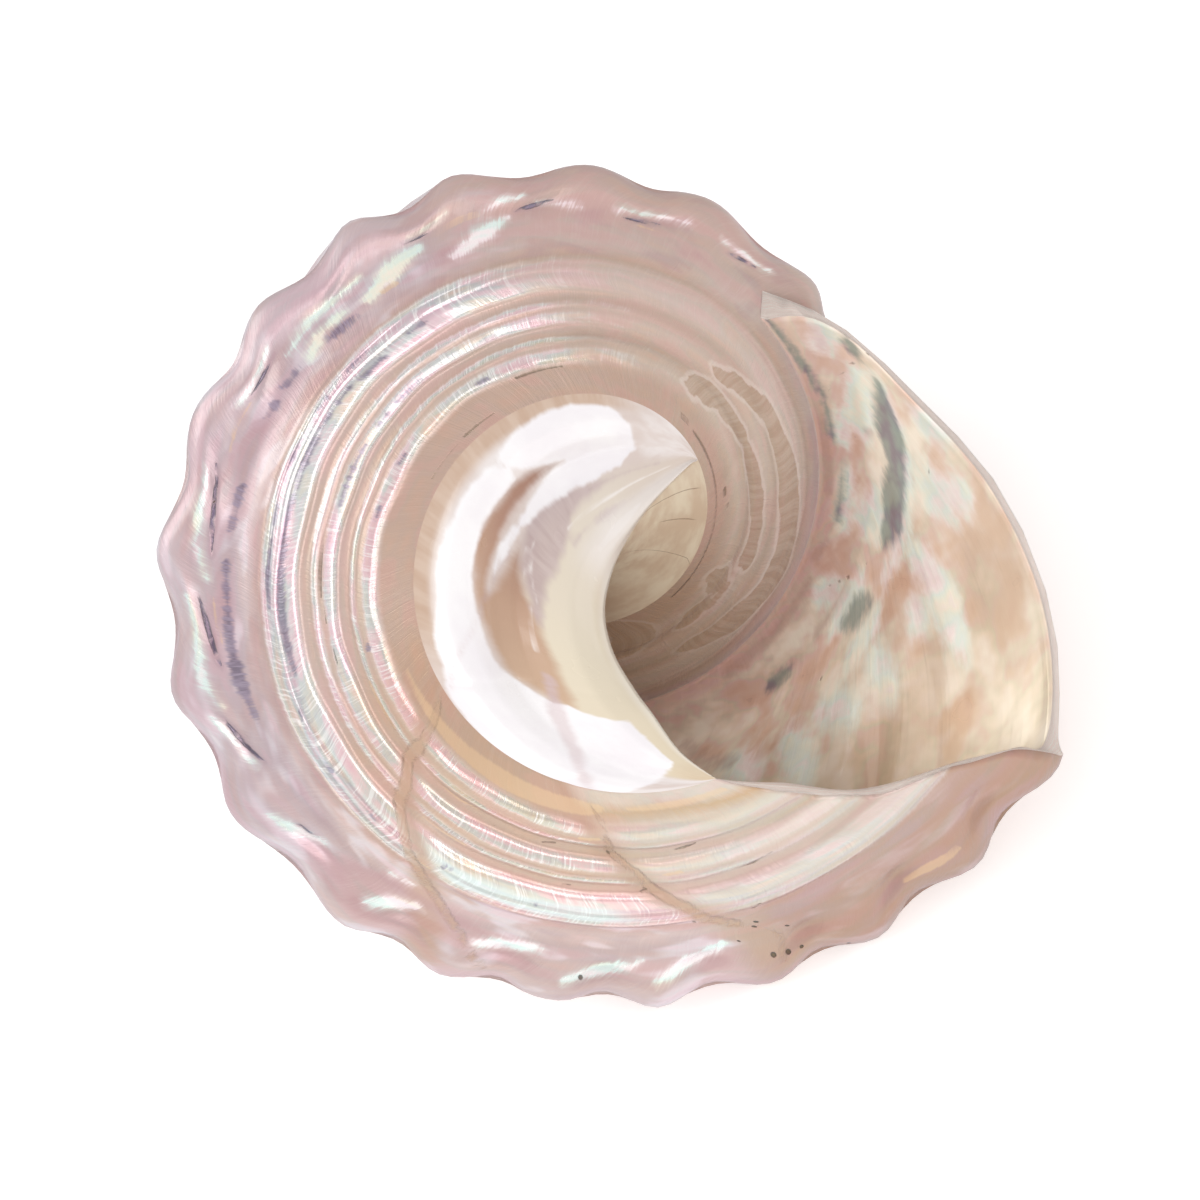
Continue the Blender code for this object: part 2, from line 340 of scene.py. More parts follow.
class Sewing:
    """Points and faces of one mesh, with a coil place for every face corner."""

    def __init__(self):
        self.places = []
        self.count = 0
        self.faces = []
        self.corners = []

    def add(self, places):
        """Keep an array of points and return their numbers in the same arrangement."""
        numbers = np.arange(self.count, self.count + places[..., 0].size)
        self.places.append(places.reshape(-1, 3))
        self.count += numbers.size
        return numbers.reshape(places.shape[:-1])

    def face(self, numbers, coil):
        """One face; corners that share a point are taken once."""
        kept = [k for k in range(len(numbers)) if numbers[k] not in numbers[:k]]
        if len(kept) > 2:
            self.faces.append([int(numbers[k]) for k in kept])
            self.corners.append([tuple(coil[k]) for k in kept])

    def sheet(self, numbers, first, second, sheet):
        """Faces between neighbouring lines of a grid of points."""
        coil = np.stack(np.broadcast_arrays(first, second, float(sheet)), -1)
        assert coil.shape[:2] == numbers.shape
        corners = [(slice(None, -1), slice(None, -1)), (slice(None, -1), slice(1, None)),
                   (slice(1, None), slice(1, None)), (slice(1, None), slice(None, -1))]
        loops = np.stack([numbers[c] for c in corners], -1).reshape(-1, 4)
        coils = np.stack([coil[c] for c in corners], -2).reshape(-1, 4, 3)
        for loop, place in zip(loops.tolist(), coils):
            self.face(loop, place)

    def lace(self, left, right, left_coil, right_coil):
        """Triangles between two lines of points with different spacing."""
        places = np.concatenate(self.places)

        def shares(line):
            """How far along the line each point lies; the last entry is a stop."""
            reach = np.cumsum(np.linalg.norm(np.diff(places[line], axis=0), axis=1))
            return np.concatenate([[0.0], reach / reach[-1], [2.0]])

        left_share, right_share = shares(left), shares(right)
        i = j = 0
        while i < len(left) - 1 or j < len(right) - 1:
            if left_share[i + 1] <= right_share[j + 1]:
                self.face([left[i], left[i + 1], right[j]],
                          [left_coil[i], left_coil[i + 1], right_coil[j]])
                i += 1
            else:
                self.face([left[i], right[j + 1], right[j]],
                          [left_coil[i], right_coil[j + 1], right_coil[j]])
                j += 1


def fine_rows(start, stop, steps):
    """Row places from start to stop, each whole row divided in steps."""
    return np.linspace(start, stop, round((stop - start) * steps) + 1)


print("sheets: outside, porcelain, pillar, wall, old whorl, rim")

# %% [markdown]
# ## Sewing the outside
# The spiral is one long sheet from seam to seam, and its first row reuses the points of
# the turn before. Under the last whorl the same sheet runs on over the base.

# %% The spiral and the base
sewing = Sewing()
tip = sewing.add(np.array([[0.0, 0.0, 1.0]]))[0]
UPPER_ROWS = np.concatenate([fine_rows(0, 5, 2.4)[:-1], fine_rows(5, OUTER_SEAM, 6)])
SEAM_ROWS = fine_rows(OUTER_SEAM, INNER_SEAM, 6)
BASE_ROWS = fine_rows(INNER_SEAM, CALLUS_ROW, 9)
columns = np.arange(LAST + 1)
spiral = np.empty((LAST + 1, len(UPPER_ROWS)), int)
spiral[:, 1:] = sewing.add(outer_surface(columns[:, None], UPPER_ROWS[None, 1:]))
spiral[:TURN_COLUMNS, 0] = tip
spiral[TURN_COLUMNS:, 0] = spiral[:LAST + 1 - TURN_COLUMNS, -1]
angles = column_angle(columns)[:, None]
sewing.sheet(spiral, angles, UPPER_ROWS[None, :], OUTSIDE)
sewing.face(spiral[0].tolist(), np.stack([np.full(len(UPPER_ROWS), angles[0, 0]), UPPER_ROWS,
                                          np.zeros(len(UPPER_ROWS))], -1))

deepest = FIRST_OPEN - DEPTH_COLUMNS
base_columns = np.arange(deepest, LAST + 1)
base_rows = np.concatenate([SEAM_ROWS[1:], BASE_ROWS[1:]])
base = np.empty((len(base_columns), len(base_rows) + 1), int)
base[:, 0] = spiral[deepest:, -1]
base[:, 1:] = sewing.add(outer_surface(base_columns[:, None], base_rows[None, :]))
all_rows = np.concatenate([[OUTER_SEAM], base_rows])
seam_end = len(SEAM_ROWS) - 1
open_columns = base_columns >= FIRST_OPEN
sewing.sheet(base[open_columns], column_angle(base_columns[open_columns])[:, None],
             all_rows[None, :], OUTSIDE)
covered = base_columns <= FIRST_OPEN
sewing.sheet(base[covered][:, seam_end:], column_angle(base_columns[covered])[:, None],
             all_rows[None, seam_end:], OLD_WHORL)
print("points so far:", sewing.count)

# %% [markdown]
# ## Sewing the inside
# Each section of the cavity starts at the old whorl, runs over the pillar to the foot of
# the columella, then round the inner wall to the seam. The section at the lip is the
# crest and the rim's inner edge. The last one is closed, far out of sight.

# %% The pillar, the inner wall and the blind end
PILLAR_STEPS = 54
INNER_ROWS = fine_rows(0, 10, 8)[1:-1]
crest_column = LAST - CREST_START
back = np.arange(DEPTH_COLUMNS + 1) * STEP
pillar_places = np.linspace(0, 1, PILLAR_STEPS + 1)[1:-1]
row_of_callus = base.shape[1] - 1


def base_point(column, row):
    """Number of the base's point at a column and a row of its grid."""
    return base[column - deepest, row]


pillar = np.empty((DEPTH_COLUMNS + 1, PILLAR_STEPS + 1), int)
pillar[:, 1:-1] = sewing.add(pillar_surface(back[:, None], pillar_places[None, :]))
pillar[:, 0] = [base_point(crest_column - k, row_of_callus) for k in range(DEPTH_COLUMNS + 1)]
pillar[0, -1] = base_point(LAST, row_of_callus)
pillar[1:, -1] = sewing.add(inner_surface(back[1:], 0.0))
sewing.sheet(pillar, back[:, None], np.linspace(0, 1, PILLAR_STEPS + 1)[None, :], PILLAR)

wall = np.empty((DEPTH_COLUMNS + 1, len(INNER_ROWS) + 2), int)
wall[:, 0] = pillar[:, -1]
wall[:, 1:-1] = sewing.add(inner_surface(back[:, None], INNER_ROWS[None, :]))
wall[:, -1] = [base_point(FIRST_OPEN - k, seam_end) for k in range(DEPTH_COLUMNS + 1)]
wall_rows = np.concatenate([[0], INNER_ROWS, [10]])
sewing.sheet(wall, back[:, None], wall_rows[None, :], WALL)

end = list(pillar[-1]) + list(wall[-1][1:]) + list(base[0, seam_end + 1:])
end += [base_point(c, row_of_callus) for c in range(deepest + 1, crest_column - DEPTH_COLUMNS)]
middle = sewing.add(np.concatenate(sewing.places)[end].mean(axis=0)[None])[0]
for here, there in zip(end, end[1:] + end[:1]):
    sewing.face([int(middle), int(here), int(there)], [(back[-1], 5.0, float(WALL))] * 3)
print("cavity sections:", len(back), "points so far:", sewing.count)

# %% [markdown]
# ## The rim of the lip
# Outer and inner face meet in a thin broken edge. A line of points along its middle,
# pushed out a little and roughened, makes it a real edge instead of a sharp fold.

# %% The rim
outer_edge = [int(n) for n in list(spiral[LAST]) + list(base[-1][1:])]
outer_rows = np.concatenate([UPPER_ROWS, base_rows])
inner_edge = [int(n) for n in wall[0][::-1]]
inner_rows = wall_rows[::-1]
INSIDE_ROWS_FROM = 20
rim_coil = [(LIP_ANGLE, row, float(RIM)) for row in outer_rows]
inner_rim_coil = [(LIP_ANGLE, INSIDE_ROWS_FROM + row, float(RIM)) for row in inner_rows]
sewing.lace(outer_edge, inner_edge, rim_coil, inner_rim_coil)
print("rim points:", len(outer_edge), "outside and", len(inner_edge), "inside")

# %% [markdown]
# ## Callus, groove and columella
# Inside the callus edge the animal laid porcelain over the base, leaves a groove, and
# rolls the columella up to the crest. This crescent is spanned from the callus edge to
# the crest, and a height profile across it gives the callus, the groove and the roll.

# %% The crescent beside the mouth
ACROSS = [0.0, 0.08, 0.16, 0.27, 0.40, 0.50, 0.62, 0.78, 0.92, 1.0]
LIFT = [0.0, 0.7, 0.9, 0.3, -1.9, -1.6, 0.6, 2.2, 1.3, 0.0]
ACROSS_STEPS = 44
ROLL_HEIGHT = 1.8


def along_line(places, share):
    """Points at shares of the way along a line of points."""
    spot = np.asarray(share) * (len(places) - 1)
    return np.stack([np.interp(spot, range(len(places)), places[:, k]) for k in range(3)], -1)


callus = np.array([base_point(c, row_of_callus) for c in range(crest_column, LAST + 1)])
places = np.concatenate(sewing.places)
along = np.linspace(0, 1, len(callus))
across = np.linspace(0, 1, ACROSS_STEPS + 1)
callus_line = places[callus]
crest_line = along_line(places[pillar[0]], along)
mix = across[None, :, None]
crescent_places = (1 - mix) * callus_line[:, None] + mix * crest_line[:, None]
lift = np.interp(across, ACROSS, LIFT)[None, :] * np.sin(np.pi * along[:, None]) ** 1.5
# The crest starts as a thick rounded roll beside the old whorl.
lift = lift + ROLL_HEIGHT * dent(across, 0.88, 0.09)[None, :] * dent(along, 0.16, 0.13)[:, None]
crescent_places[..., 2] += lift
crescent = np.empty(crescent_places.shape[:2], int)
crescent[:, 0] = callus
crescent[1:-1, 1:-1] = sewing.add(crescent_places[1:-1, 1:-1])
crescent[0, 1:] = callus[0]
crescent[-1, 1:] = callus[-1]
sewing.sheet(crescent[:, :-1], along[:, None], across[None, :-1], PORCELAIN)
near_crest = [int(n) for n in crescent[:, -2]]
crest_coil = [(s, 1.0, float(PORCELAIN)) for s in np.linspace(0, 1, PILLAR_STEPS + 1)]
sewing.lace(near_crest, [int(n) for n in pillar[0]],
            [(s, across[-2], float(PORCELAIN)) for s in along], crest_coil)
print("crescent grid:", crescent.shape, "points in all:", sewing.count)

# %% [markdown]
# ## The mesh object
# The sheets become one Blender mesh. Corner attributes carry the coil places into the
# materials. The normals are made to point out, which Blender can do for a closed mesh.

# %% From sheets to a mesh
mesh = bpy.data.meshes.new("pearl_shell")
mesh.from_pydata(np.concatenate(sewing.places) * MM, [], sewing.faces)
coil_places = np.concatenate([np.array(c, float) for c in sewing.corners])
coil = mesh.attributes.new("coil", "FLOAT_VECTOR", "CORNER")
coil.data.foreach_set("vector", coil_places.astype(np.float32).ravel())
shell = bpy.data.objects.new("pearl_shell", mesh)
bpy.context.collection.objects.link(shell)

closed = bmesh.new()
closed.from_mesh(mesh)
bmesh.ops.recalc_face_normals(closed, faces=closed.faces)
open_edges = sum(not edge.is_manifold for edge in closed.edges)
inside_out = closed.calc_volume(signed=True) < 0
if inside_out:
    bmesh.ops.reverse_faces(closed, faces=closed.faces)
closed.to_mesh(mesh)
closed.free()
mesh.shade_smooth()
triangle_count = sum(len(face.vertices) - 2 for face in mesh.polygons)
print("open edges:", open_edges, "triangles:", triangle_count)

# %% [markdown]
# ## Lying at rest
# The formulas draw the shell standing on its axis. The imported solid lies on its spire
# and keel, as the real one would on a table, so the mesh is turned and set down the same
# way. The turn goes into the points, so the object itself stays unturned.

# %% The turn and the place of the tip
LYING = Euler([math.radians(a) for a in (45.42, 23.46, -23.09)], "XYZ").to_matrix()
TIP_OFFSET = Vector((4.240, 44.074, 0.0)) * MM
mesh.transform(Matrix.Translation(TIP_OFFSET) @ LYING.to_4x4())
mesh.update()
corners = np.empty(len(mesh.vertices) * 3)
mesh.vertices.foreach_get("co", corners)
corners = corners.reshape(-1, 3)
print("fine shell box in mm:", (corners.min(0) * 1000).round(2), (corners.max(0) * 1000).round(2))

# %% [markdown]
# ## Marks of the surface
# The real shell carries marks that no tiling pattern gives: pauses in growth, a brown
# groove, porcelain lobes, stained patches. Painting an image would be one way. Here each
# mark is a small outline or stroke in coil places, and its distance is kept at every face
# corner, so the material can cut it with a crisp, slightly ragged edge.

# %% Distances to outlines and strokes
def inside_outline(x, y, outline, stretch=1.0):
    """Signed distance to a closed outline, positive inside; x is counted stretch times."""
    outline = np.array(outline, float) * (stretch, 1.0)
    x = np.asarray(x, float) * stretch
    y = np.asarray(y, float)
    nearest = np.full(x.shape, 1e9)
    crossings = np.zeros(x.shape, int)
    for (ax, ay), (bx, by) in zip(outline, np.roll(outline, -1, axis=0)):
        nearest = np.minimum(nearest, stroke_distance(x, y, ax, ay, bx, by)[0])
        level = (ay > y) != (by > y)
        rise = by - ay if by != ay else 1e-9
        crossings += level & (x < (bx - ax) * (y - ay) / rise + ax)
    return np.where(crossings % 2 == 1, nearest, -nearest)


def stroke_distance(x, y, ax, ay, bx, by):
    """Distance from places to one straight piece, and how far along it the nearest is."""
    run = max((bx - ax) ** 2 + (by - ay) ** 2, 1e-12)
    share = np.clip(((x - ax) * (bx - ax) + (y - ay) * (by - ay)) / run, 0, 1)
    return np.hypot(x - ax - share * (bx - ax), y - ay - share * (by - ay)), share


def along_stroke(x, y, stroke, stretch=1.0):
    """Signed distance to a brush stroke of points (x, y, half width), positive inside."""
    x = np.asarray(x, float) * stretch
    best = np.full(x.shape, -1e9)
    for (ax, ay, a), (bx, by, b) in zip(stroke, stroke[1:]):
        distance, share = stroke_distance(x, y, ax * stretch, ay, bx * stretch, by)
        best = np.maximum(best, a + share * (b - a) - distance)
    return best


def strokes(x, y, many, stretch=1.0):
    """The nearest of many strokes."""
    return np.max([along_stroke(x, y, stroke, stretch) for stroke in many], axis=0)


print("stroke test:", along_stroke([0.0, 2.0], np.zeros(2), [(0, 0, 1), (1, 0, 1)]))

# %% [markdown]
# ## Marks outside
# Under the keel every hollow between two scallops holds a slanted glossy flute: a dark
# crescent where it mirrors the dark side of the room, with a pale gleam above it. No two
# are alike, so each one is a stroke of points (growth angle, row, half width). Painted
# slate reflections, golden lines, scars, stains and the brown patches near the mouth are
# strokes as well.

# %% Gleams and dark crescents of the flutes
OUTSIDE_STRETCH = 0.3
FLUTE_GLEAMS = [
    [(50, 7.05, 0.08), (56, 7.2, 0.14), (62, 7.5, 0.06)],
    [(68, 7.45, 0.06), (74, 7.5, 0.12), (79, 7.6, 0.12), (84, 7.8, 0.05)],
    [(89, 7.8, 0.05), (93, 7.68, 0.10), (97, 7.5, 0.06)],
    [(98, 7.0, 0.05), (102, 7.25, 0.14), (107, 7.8, 0.05)],
    [(112, 7.35, 0.06), (116, 7.4, 0.10), (120, 7.45, 0.05)],
    [(103, 8.0, 0.08), (110, 8.5, 0.24), (118, 8.95, 0.14)],
    [(119, 8.0, 0.10), (126, 8.3, 0.32), (134, 8.7, 0.18)],
    [(130, 7.85, 0.05), (139, 7.85, 0.14), (148, 8.05, 0.05)],
    [(137, 8.45, 0.10), (143, 8.45, 0.16), (149, 8.8, 0.05)],
    [(147, 7.35, 0.05), (152, 7.4, 0.11), (158, 7.55, 0.05)],
    [(168, 7.1, 0.10), (174, 7.25, 0.20), (181, 7.6, 0.12), (186, 7.9, 0.04)],
    [(187, 7.0, 0.10), (194, 7.2, 0.14), (200, 7.4, 0.12), (205, 7.7, 0.05)],
    [(205, 7.1, 0.10), (209, 7.3, 0.15), (215, 7.8, 0.08)],
    [(221, 7.3, 0.08), (226, 7.6, 0.18), (231, 8.1, 0.08)],
    [(239, 7.5, 0.10), (244, 7.9, 0.25), (248, 8.3, 0.10)],
    [(242, 8.8, 0.05), (245, 8.9, 0.10), (248, 9.0, 0.04)],
    [(255, 7.8, 0.12), (260, 8.05, 0.26), (267, 8.45, 0.08)],
    [(268, 7.3, 0.10), (273, 7.55, 0.25), (280, 8.15, 0.08)],
    [(280, 7.4, 0.08), (285, 7.75, 0.28), (292, 8.4, 0.08)],
]
FLUTE_DARKS = [
    [(53, 7.3, 0.03), (57, 7.52, 0.09), (60.5, 7.78, 0.03)],
    [(74, 7.85, 0.03), (78, 7.93, 0.09), (82, 8.03, 0.03)],
    [(94, 7.48, 0.03), (98, 7.62, 0.12), (102, 7.82, 0.03)],
    [(115.5, 7.6, 0.03), (118.5, 7.63, 0.08), (121.5, 7.6, 0.03)],
    [(148, 7.58, 0.02), (152, 7.65, 0.08), (157, 7.72, 0.02)],
    [(167, 7.5, 0.03), (172, 7.7, 0.09), (177, 7.9, 0.09), (183, 8.07, 0.02)],
    [(187, 7.42, 0.03), (192, 7.62, 0.12), (196, 7.85, 0.09), (200, 8.03, 0.02)],
    [(205, 7.38, 0.03), (210, 7.6, 0.09), (213, 7.9, 0.08), (216.5, 8.22, 0.02)],
    [(224.5, 7.73, 0.03), (227, 7.85, 0.08), (229.5, 7.97, 0.03)],
]

print("gleams:", len(FLUTE_GLEAMS), "dark crescents:", len(FLUTE_DARKS))

# %% [markdown]
# ## Slate reflections and golden lines
# Slate smudges, mostly beside the cords, are painted reflections where the polished nacre
# mirrors the dark side of the room. Golden lines are the edges of older layers that the
# polishing reached. Noise could give both, but it would put them anywhere, so they are
# strokes too.

# %% Painted slate reflections, golden lines
SLATE_REFLECTIONS = [
    [(138, 8.9, 0.10), (144, 8.8, 0.18)], [(150, 8.6, 0.08), (154, 8.6, 0.12)],
    [(157, 8.6, 0.10), (160, 8.6, 0.08)], [(172, 8.6, 0.10), (179, 8.6, 0.14)],
    [(184, 8.5, 0.06), (195, 8.45, 0.18), (203, 8.5, 0.20), (211, 8.6, 0.05)],
    [(144, 10.4, 0.05), (150, 10.4, 0.09)], [(155, 10.4, 0.06), (159, 10.38, 0.08)],
    [(165, 10.4, 0.08), (170, 10.36, 0.12)], [(177, 10.4, 0.05), (182, 10.4, 0.08)],
    [(184, 10.4, 0.08), (190, 10.36, 0.14), (196, 10.42, 0.05)],
    [(134, 11.2, 0.05), (139, 11.2, 0.07)], [(146, 11.3, 0.10), (152, 11.3, 0.14)],
    [(154, 11.1, 0.06), (158, 11.1, 0.09)], [(160, 11.1, 0.06), (163, 11.1, 0.09)],
    [(165, 11.1, 0.10), (173, 11.1, 0.17)], [(174, 11.15, 0.07), (186, 11.1, 0.10)],
    [(187, 11.15, 0.12), (198, 11.1, 0.17), (205, 11.15, 0.14), (212, 11.2, 0.04)],
    [(215, 10.7, 0.06), (217, 10.7, 0.06)], [(225, 10.6, 0.05), (228, 10.6, 0.07)],
    [(237, 10.7, 0.05), (239, 10.7, 0.05)], [(252.5, 10.7, 0.03), (255.5, 11.1, 0.06)],
    [(268.3, 10.6, 0.03), (270.5, 11.0, 0.06)],
    [(152, 13.35, 0.05), (160, 13.35, 0.06)], [(163, 13.35, 0.05), (167, 13.35, 0.06)],
    [(171, 13.35, 0.06), (176, 13.32, 0.11), (187, 13.4, 0.05)],
    [(145, 15.6, 0.04), (149, 15.6, 0.05)], [(175, 15.55, 0.05), (178.5, 15.55, 0.08)],
    [(190, 15.55, 0.05), (194, 15.55, 0.06)], [(222, 15.2, 0.05), (224.5, 15.2, 0.06)],
]
GOLDEN_LINES = [
    [(73, 8.1, 0.03), (80, 8.15, 0.06)], [(157, 7.85, 0.04), (161, 7.75, 0.06), (166, 7.9, 0.04)],
    [(188, 7.98, 0.03), (192, 8.02, 0.06), (197, 8.2, 0.03)],
    [(107, 7.75, 0.06), (111, 7.75, 0.10), (115, 7.75, 0.05)], [(128, 8.8, 0.10), (132, 8.8, 0.12)],
    [(206, 9.97, 0.03), (235, 9.97, 0.06)],
    [(238, 16.3, 0.04), (255, 16.3, 0.14), (275, 16.3, 0.24), (297, 16.35, 0.20), (303, 16.45, 0.05)],
    [(308, 16.45, 0.05), (318, 16.5, 0.10), (334, 16.55, 0.08)],
    [(230, 14.6, 0.08), (236, 14.58, 0.10), (243, 14.6, 0.06)],
    [(254, 14.4, 0.04), (262, 14.18, 0.08), (268, 14.4, 0.04)],
    [(246, 10.35, 0.03), (250, 10.2, 0.06)], [(257, 10.25, 0.04), (263, 10.18, 0.06)],
    [(252, 12.35, 0.04), (263, 12.35, 0.05)], [(285, 12.65, 0.05), (289, 12.6, 0.06)],
    [(290, 15.0, 0.10), (295, 15.1, 0.09)], [(300, 12.85, 0.08), (304, 12.95, 0.10)],
    [(314, 7.35, 0.10), (318, 7.42, 0.18), (322, 7.4, 0.08)],
]
print("slate shadows:", len(SLATE_REFLECTIONS), "golden lines:", len(GOLDEN_LINES))

# %% [markdown]
# ## Scars, stains and pits
# When the animal stopped growing for a while, its lip left a scar across all the cords.
# This shell has two. Stains and pits came later. Scars and stains are strokes again, and
# a pit is one place (growth angle, row, half width).

# %% Scars of two pauses, stains and pits
SCARS = [
    [(257, 7, 0.20), (251, 9, 0.30), (246, 10.2, 0.40), (245.5, 10.8, 0.40), (247, 12, 0.5),
     (248, 13, 0.5), (249, 14.6, 0.5), (251, 15.6, 0.4), (253, 16.5, 0.3)],
    [(296, 7, 0.10), (298, 8, 0.12), (297, 9, 0.18), (293.5, 10, 0.35), (294.5, 11, 0.38),
     (296, 12, 0.40), (296.5, 13, 0.25), (295.5, 14.3, 0.35), (297, 15.4, 0.15), (300, 16.5, 0.08)],
]
STAINS = [
    [(291, 9.6, 0.05), (292, 9.85, 0.08)], [(292.5, 11.85, 0.03), (295, 12.15, 0.08)],
    [(280, 12.05, 0.03), (282.5, 12.12, 0.05)], [(270.8, 13.85, 0.03), (272.2, 13.9, 0.05)],
    [(281.5, 14.0, 0.02), (285, 14.22, 0.06)], [(294.8, 14.0, 0.08), (295.6, 14.35, 0.08)],
    [(251.4, 15.6, 0.04), (252.3, 15.72, 0.04)], [(299.8, 9.6, 0.03), (302.5, 10.0, 0.04)],
    [(311.5, 12.4, 0.03), (315, 12.35, 0.06), (319.5, 12.6, 0.02)],
    [(307.5, 14.1, 0.04), (311, 14.2, 0.08), (313, 14.38, 0.05)],
    [(193, 12.95, 0.03), (199, 12.95, 0.08), (206, 12.97, 0.04)],
    [(208, 13.15, 0.04), (212, 13.15, 0.06)], [(217, 13.2, 0.04), (221, 13.2, 0.05)],
    [(125, 16.1, 0.02), (133, 16.08, 0.04), (141, 16.12, 0.03)],
    [(157, 16.65, 0.02), (170, 16.65, 0.04)], [(172, 16.7, 0.02), (186, 16.7, 0.03)],
    [(-5, 16.55, 0.03), (35, 16.6, 0.04), (75, 16.55, 0.03)], [(33, 16.15, 0.04), (36, 16.15, 0.05)],
    [(39, 16.25, 0.05), (44, 16.25, 0.07)], [(77, 16.5, 0.05), (82, 16.5, 0.06)],
]
PITS = [(270.5, 7.35, 0.09), (295.5, 7.45, 0.10), (297.2, 7.25, 0.10), (298.9, 7.1, 0.08),
        (297.5, 8.7, 0.07), (298.6, 8.9, 0.08), (300, 8.2, 0.06), (304, 6.4, 0.07),
        (173.5, 7.75, 0.05), (293.5, 8.3, 0.05)]
print("scars:", len(SCARS), "stains:", len(STAINS), "pits:", len(PITS))

# %% [markdown]
# ## Brown patches and the share of pearl
# Beside the mouth the animal glazed the old whorl and left ragged brown patches bare.
# They are long, so degrees count less in their strokes. The share of pearl runs round the
# coil: it is highest from about 134 to 290 degrees, dips at the two pauses, and is lowest
# around 60 degrees.

# %% Brown patches that the animal's glaze left bare
BROWN_PATCHES = [
    [(-30, 12.2, 0.4), (-20, 11.3, 0.85), (-12, 10.75, 0.7), (3, 11.0, 0.5), (10, 11.2, 0.42),
     (20, 11.6, 0.42), (30, 11.8, 0.40), (38, 12.0, 0.32), (45, 12.1, 0.27), (52, 12.5, 0.27),
     (58, 12.8, 0.25), (66, 13.3, 0.15)],
    [(2, 13.15, 0.15), (6, 13.4, 0.32), (14, 13.45, 0.30), (22, 13.65, 0.30), (30, 13.95, 0.42),
     (42, 14.2, 0.38), (46, 14.2, 0.15)],
    [(49, 14.0, 0.12), (53, 14.3, 0.40), (60, 14.5, 0.45), (66, 14.5, 0.45), (72, 14.9, 0.50),
     (77, 15.4, 0.15)],
    [(-19, 14.2, 0.4), (-14, 14.5, 0.5)], [(-12, 13.8, 0.15), (-5, 13.8, 0.15)],
    [(-4, 14.2, 0.2), (0, 14.9, 0.5), (3, 15.6, 0.2)],
    [(-45, 14.5, 0.7), (-36, 15.3, 0.7), (-30, 16.3, 0.5)],
]
PATCH_STRETCH = 0.1
PEARL_ANGLES = [-400, -23, 60, 84, 112, 122, 134, 243, 249, 254, 290, 295, 301, 330, 337]
PEARL_SHARES = [0.45, 0.30, 0.12, 0.18, 0.40, 0.75, 1.0, 1.0, 0.15, 1.0, 0.9, 0.15, 0.5, 0.35, 0.3]


def outside_marks(angle, row):
    """Into a flute's gleam and its dark crescent, share of pearl, into a brown patch."""
    return [strokes(angle, row, FLUTE_GLEAMS, OUTSIDE_STRETCH),
            strokes(angle, row, FLUTE_DARKS, OUTSIDE_STRETCH),
            np.interp(angle, PEARL_ANGLES, PEARL_SHARES),
            strokes(angle, row, BROWN_PATCHES, PATCH_STRETCH)]


def outside_stains_and_reflections(angle, row):
    """Into a scar, a stain, a painted slate reflection and a golden line."""
    return [strokes(angle, row, many, OUTSIDE_STRETCH)
            for many in (SCARS, STAINS, SLATE_REFLECTIONS, GOLDEN_LINES)]


print("brown patches:", len(BROWN_PATCHES), "pearl steps:", len(PEARL_SHARES))

# %% [markdown]
# ## Marks of the crescent
# Places here run along the crescent from the old whorl (0) to the basal lip (1), and
# across it from the callus edge (0) to the crest (1).

# %% Porcelain, groove and mauve glaze
CRESCENT_STRETCH = 3.0
PORCELAIN_LOBES = [
    [(0.17, 0.10), (0.20, 0.06), (0.26, 0.045), (0.31, 0.06), (0.345, 0.09), (0.372, 0.13),
     (0.372, 0.20), (0.355, 0.27), (0.325, 0.325), (0.29, 0.37), (0.34, 0.405), (0.40, 0.425),
     (0.46, 0.41), (0.535, 0.385), (0.50, 0.43), (0.44, 0.475), (0.36, 0.51), (0.26, 0.55),
     (0.18, 0.54), (0.14, 0.42), (0.15, 0.22)],
    [(0.380, 0.15), (0.42, 0.115), (0.50, 0.125), (0.58, 0.105), (0.66, 0.06), (0.69, 0.0),
     (0.90, -0.05), (0.925, 0.3), (0.92, 0.6), (0.90, 0.84), (0.865, 0.86), (0.80, 0.87),
     (0.77, 0.85), (0.755, 0.74), (0.735, 0.65), (0.715, 0.59), (0.715, 0.52), (0.70, 0.48),
     (0.675, 0.40), (0.655, 0.365), (0.60, 0.335), (0.55, 0.30), (0.50, 0.27), (0.45, 0.265),
     (0.405, 0.29), (0.372, 0.27), (0.37, 0.20)],
]
GROOVE = [(0.298, 0.355), (0.36, 0.29), (0.42, 0.275), (0.48, 0.262), (0.55, 0.29), (0.60, 0.335),
          (0.655, 0.365), (0.675, 0.40), (0.70, 0.49), (0.715, 0.54), (0.735, 0.62), (0.70, 0.66),
          (0.62, 0.65), (0.54, 0.62), (0.49, 0.56), (0.46, 0.52), (0.44, 0.49), (0.50, 0.44),
          (0.54, 0.385), (0.45, 0.405), (0.38, 0.41)]
MAUVE = [[(0.10, 0.56, 0.02), (0.22, 0.565, 0.03), (0.32, 0.56, 0.07), (0.41, 0.57, 0.11),
          (0.49, 0.60, 0.09), (0.55, 0.62, 0.02)],
         [(0.02, 0.80, 0.006), (0.12, 0.765, 0.010), (0.25, 0.725, 0.012), (0.36, 0.70, 0.006)],
         [(0.875, 0.0, 0.02), (0.845, 0.2, 0.03), (0.81, 0.36, 0.035), (0.765, 0.46, 0.035),
          (0.71, 0.54, 0.035), (0.66, 0.58, 0.02)],
         [(0.70, 0.0, 0.006), (0.655, 0.12, 0.008), (0.61, 0.25, 0.012), (0.575, 0.335, 0.015),
          (0.52, 0.41, 0.012), (0.44, 0.48, 0.008), (0.36, 0.53, 0.006)]]
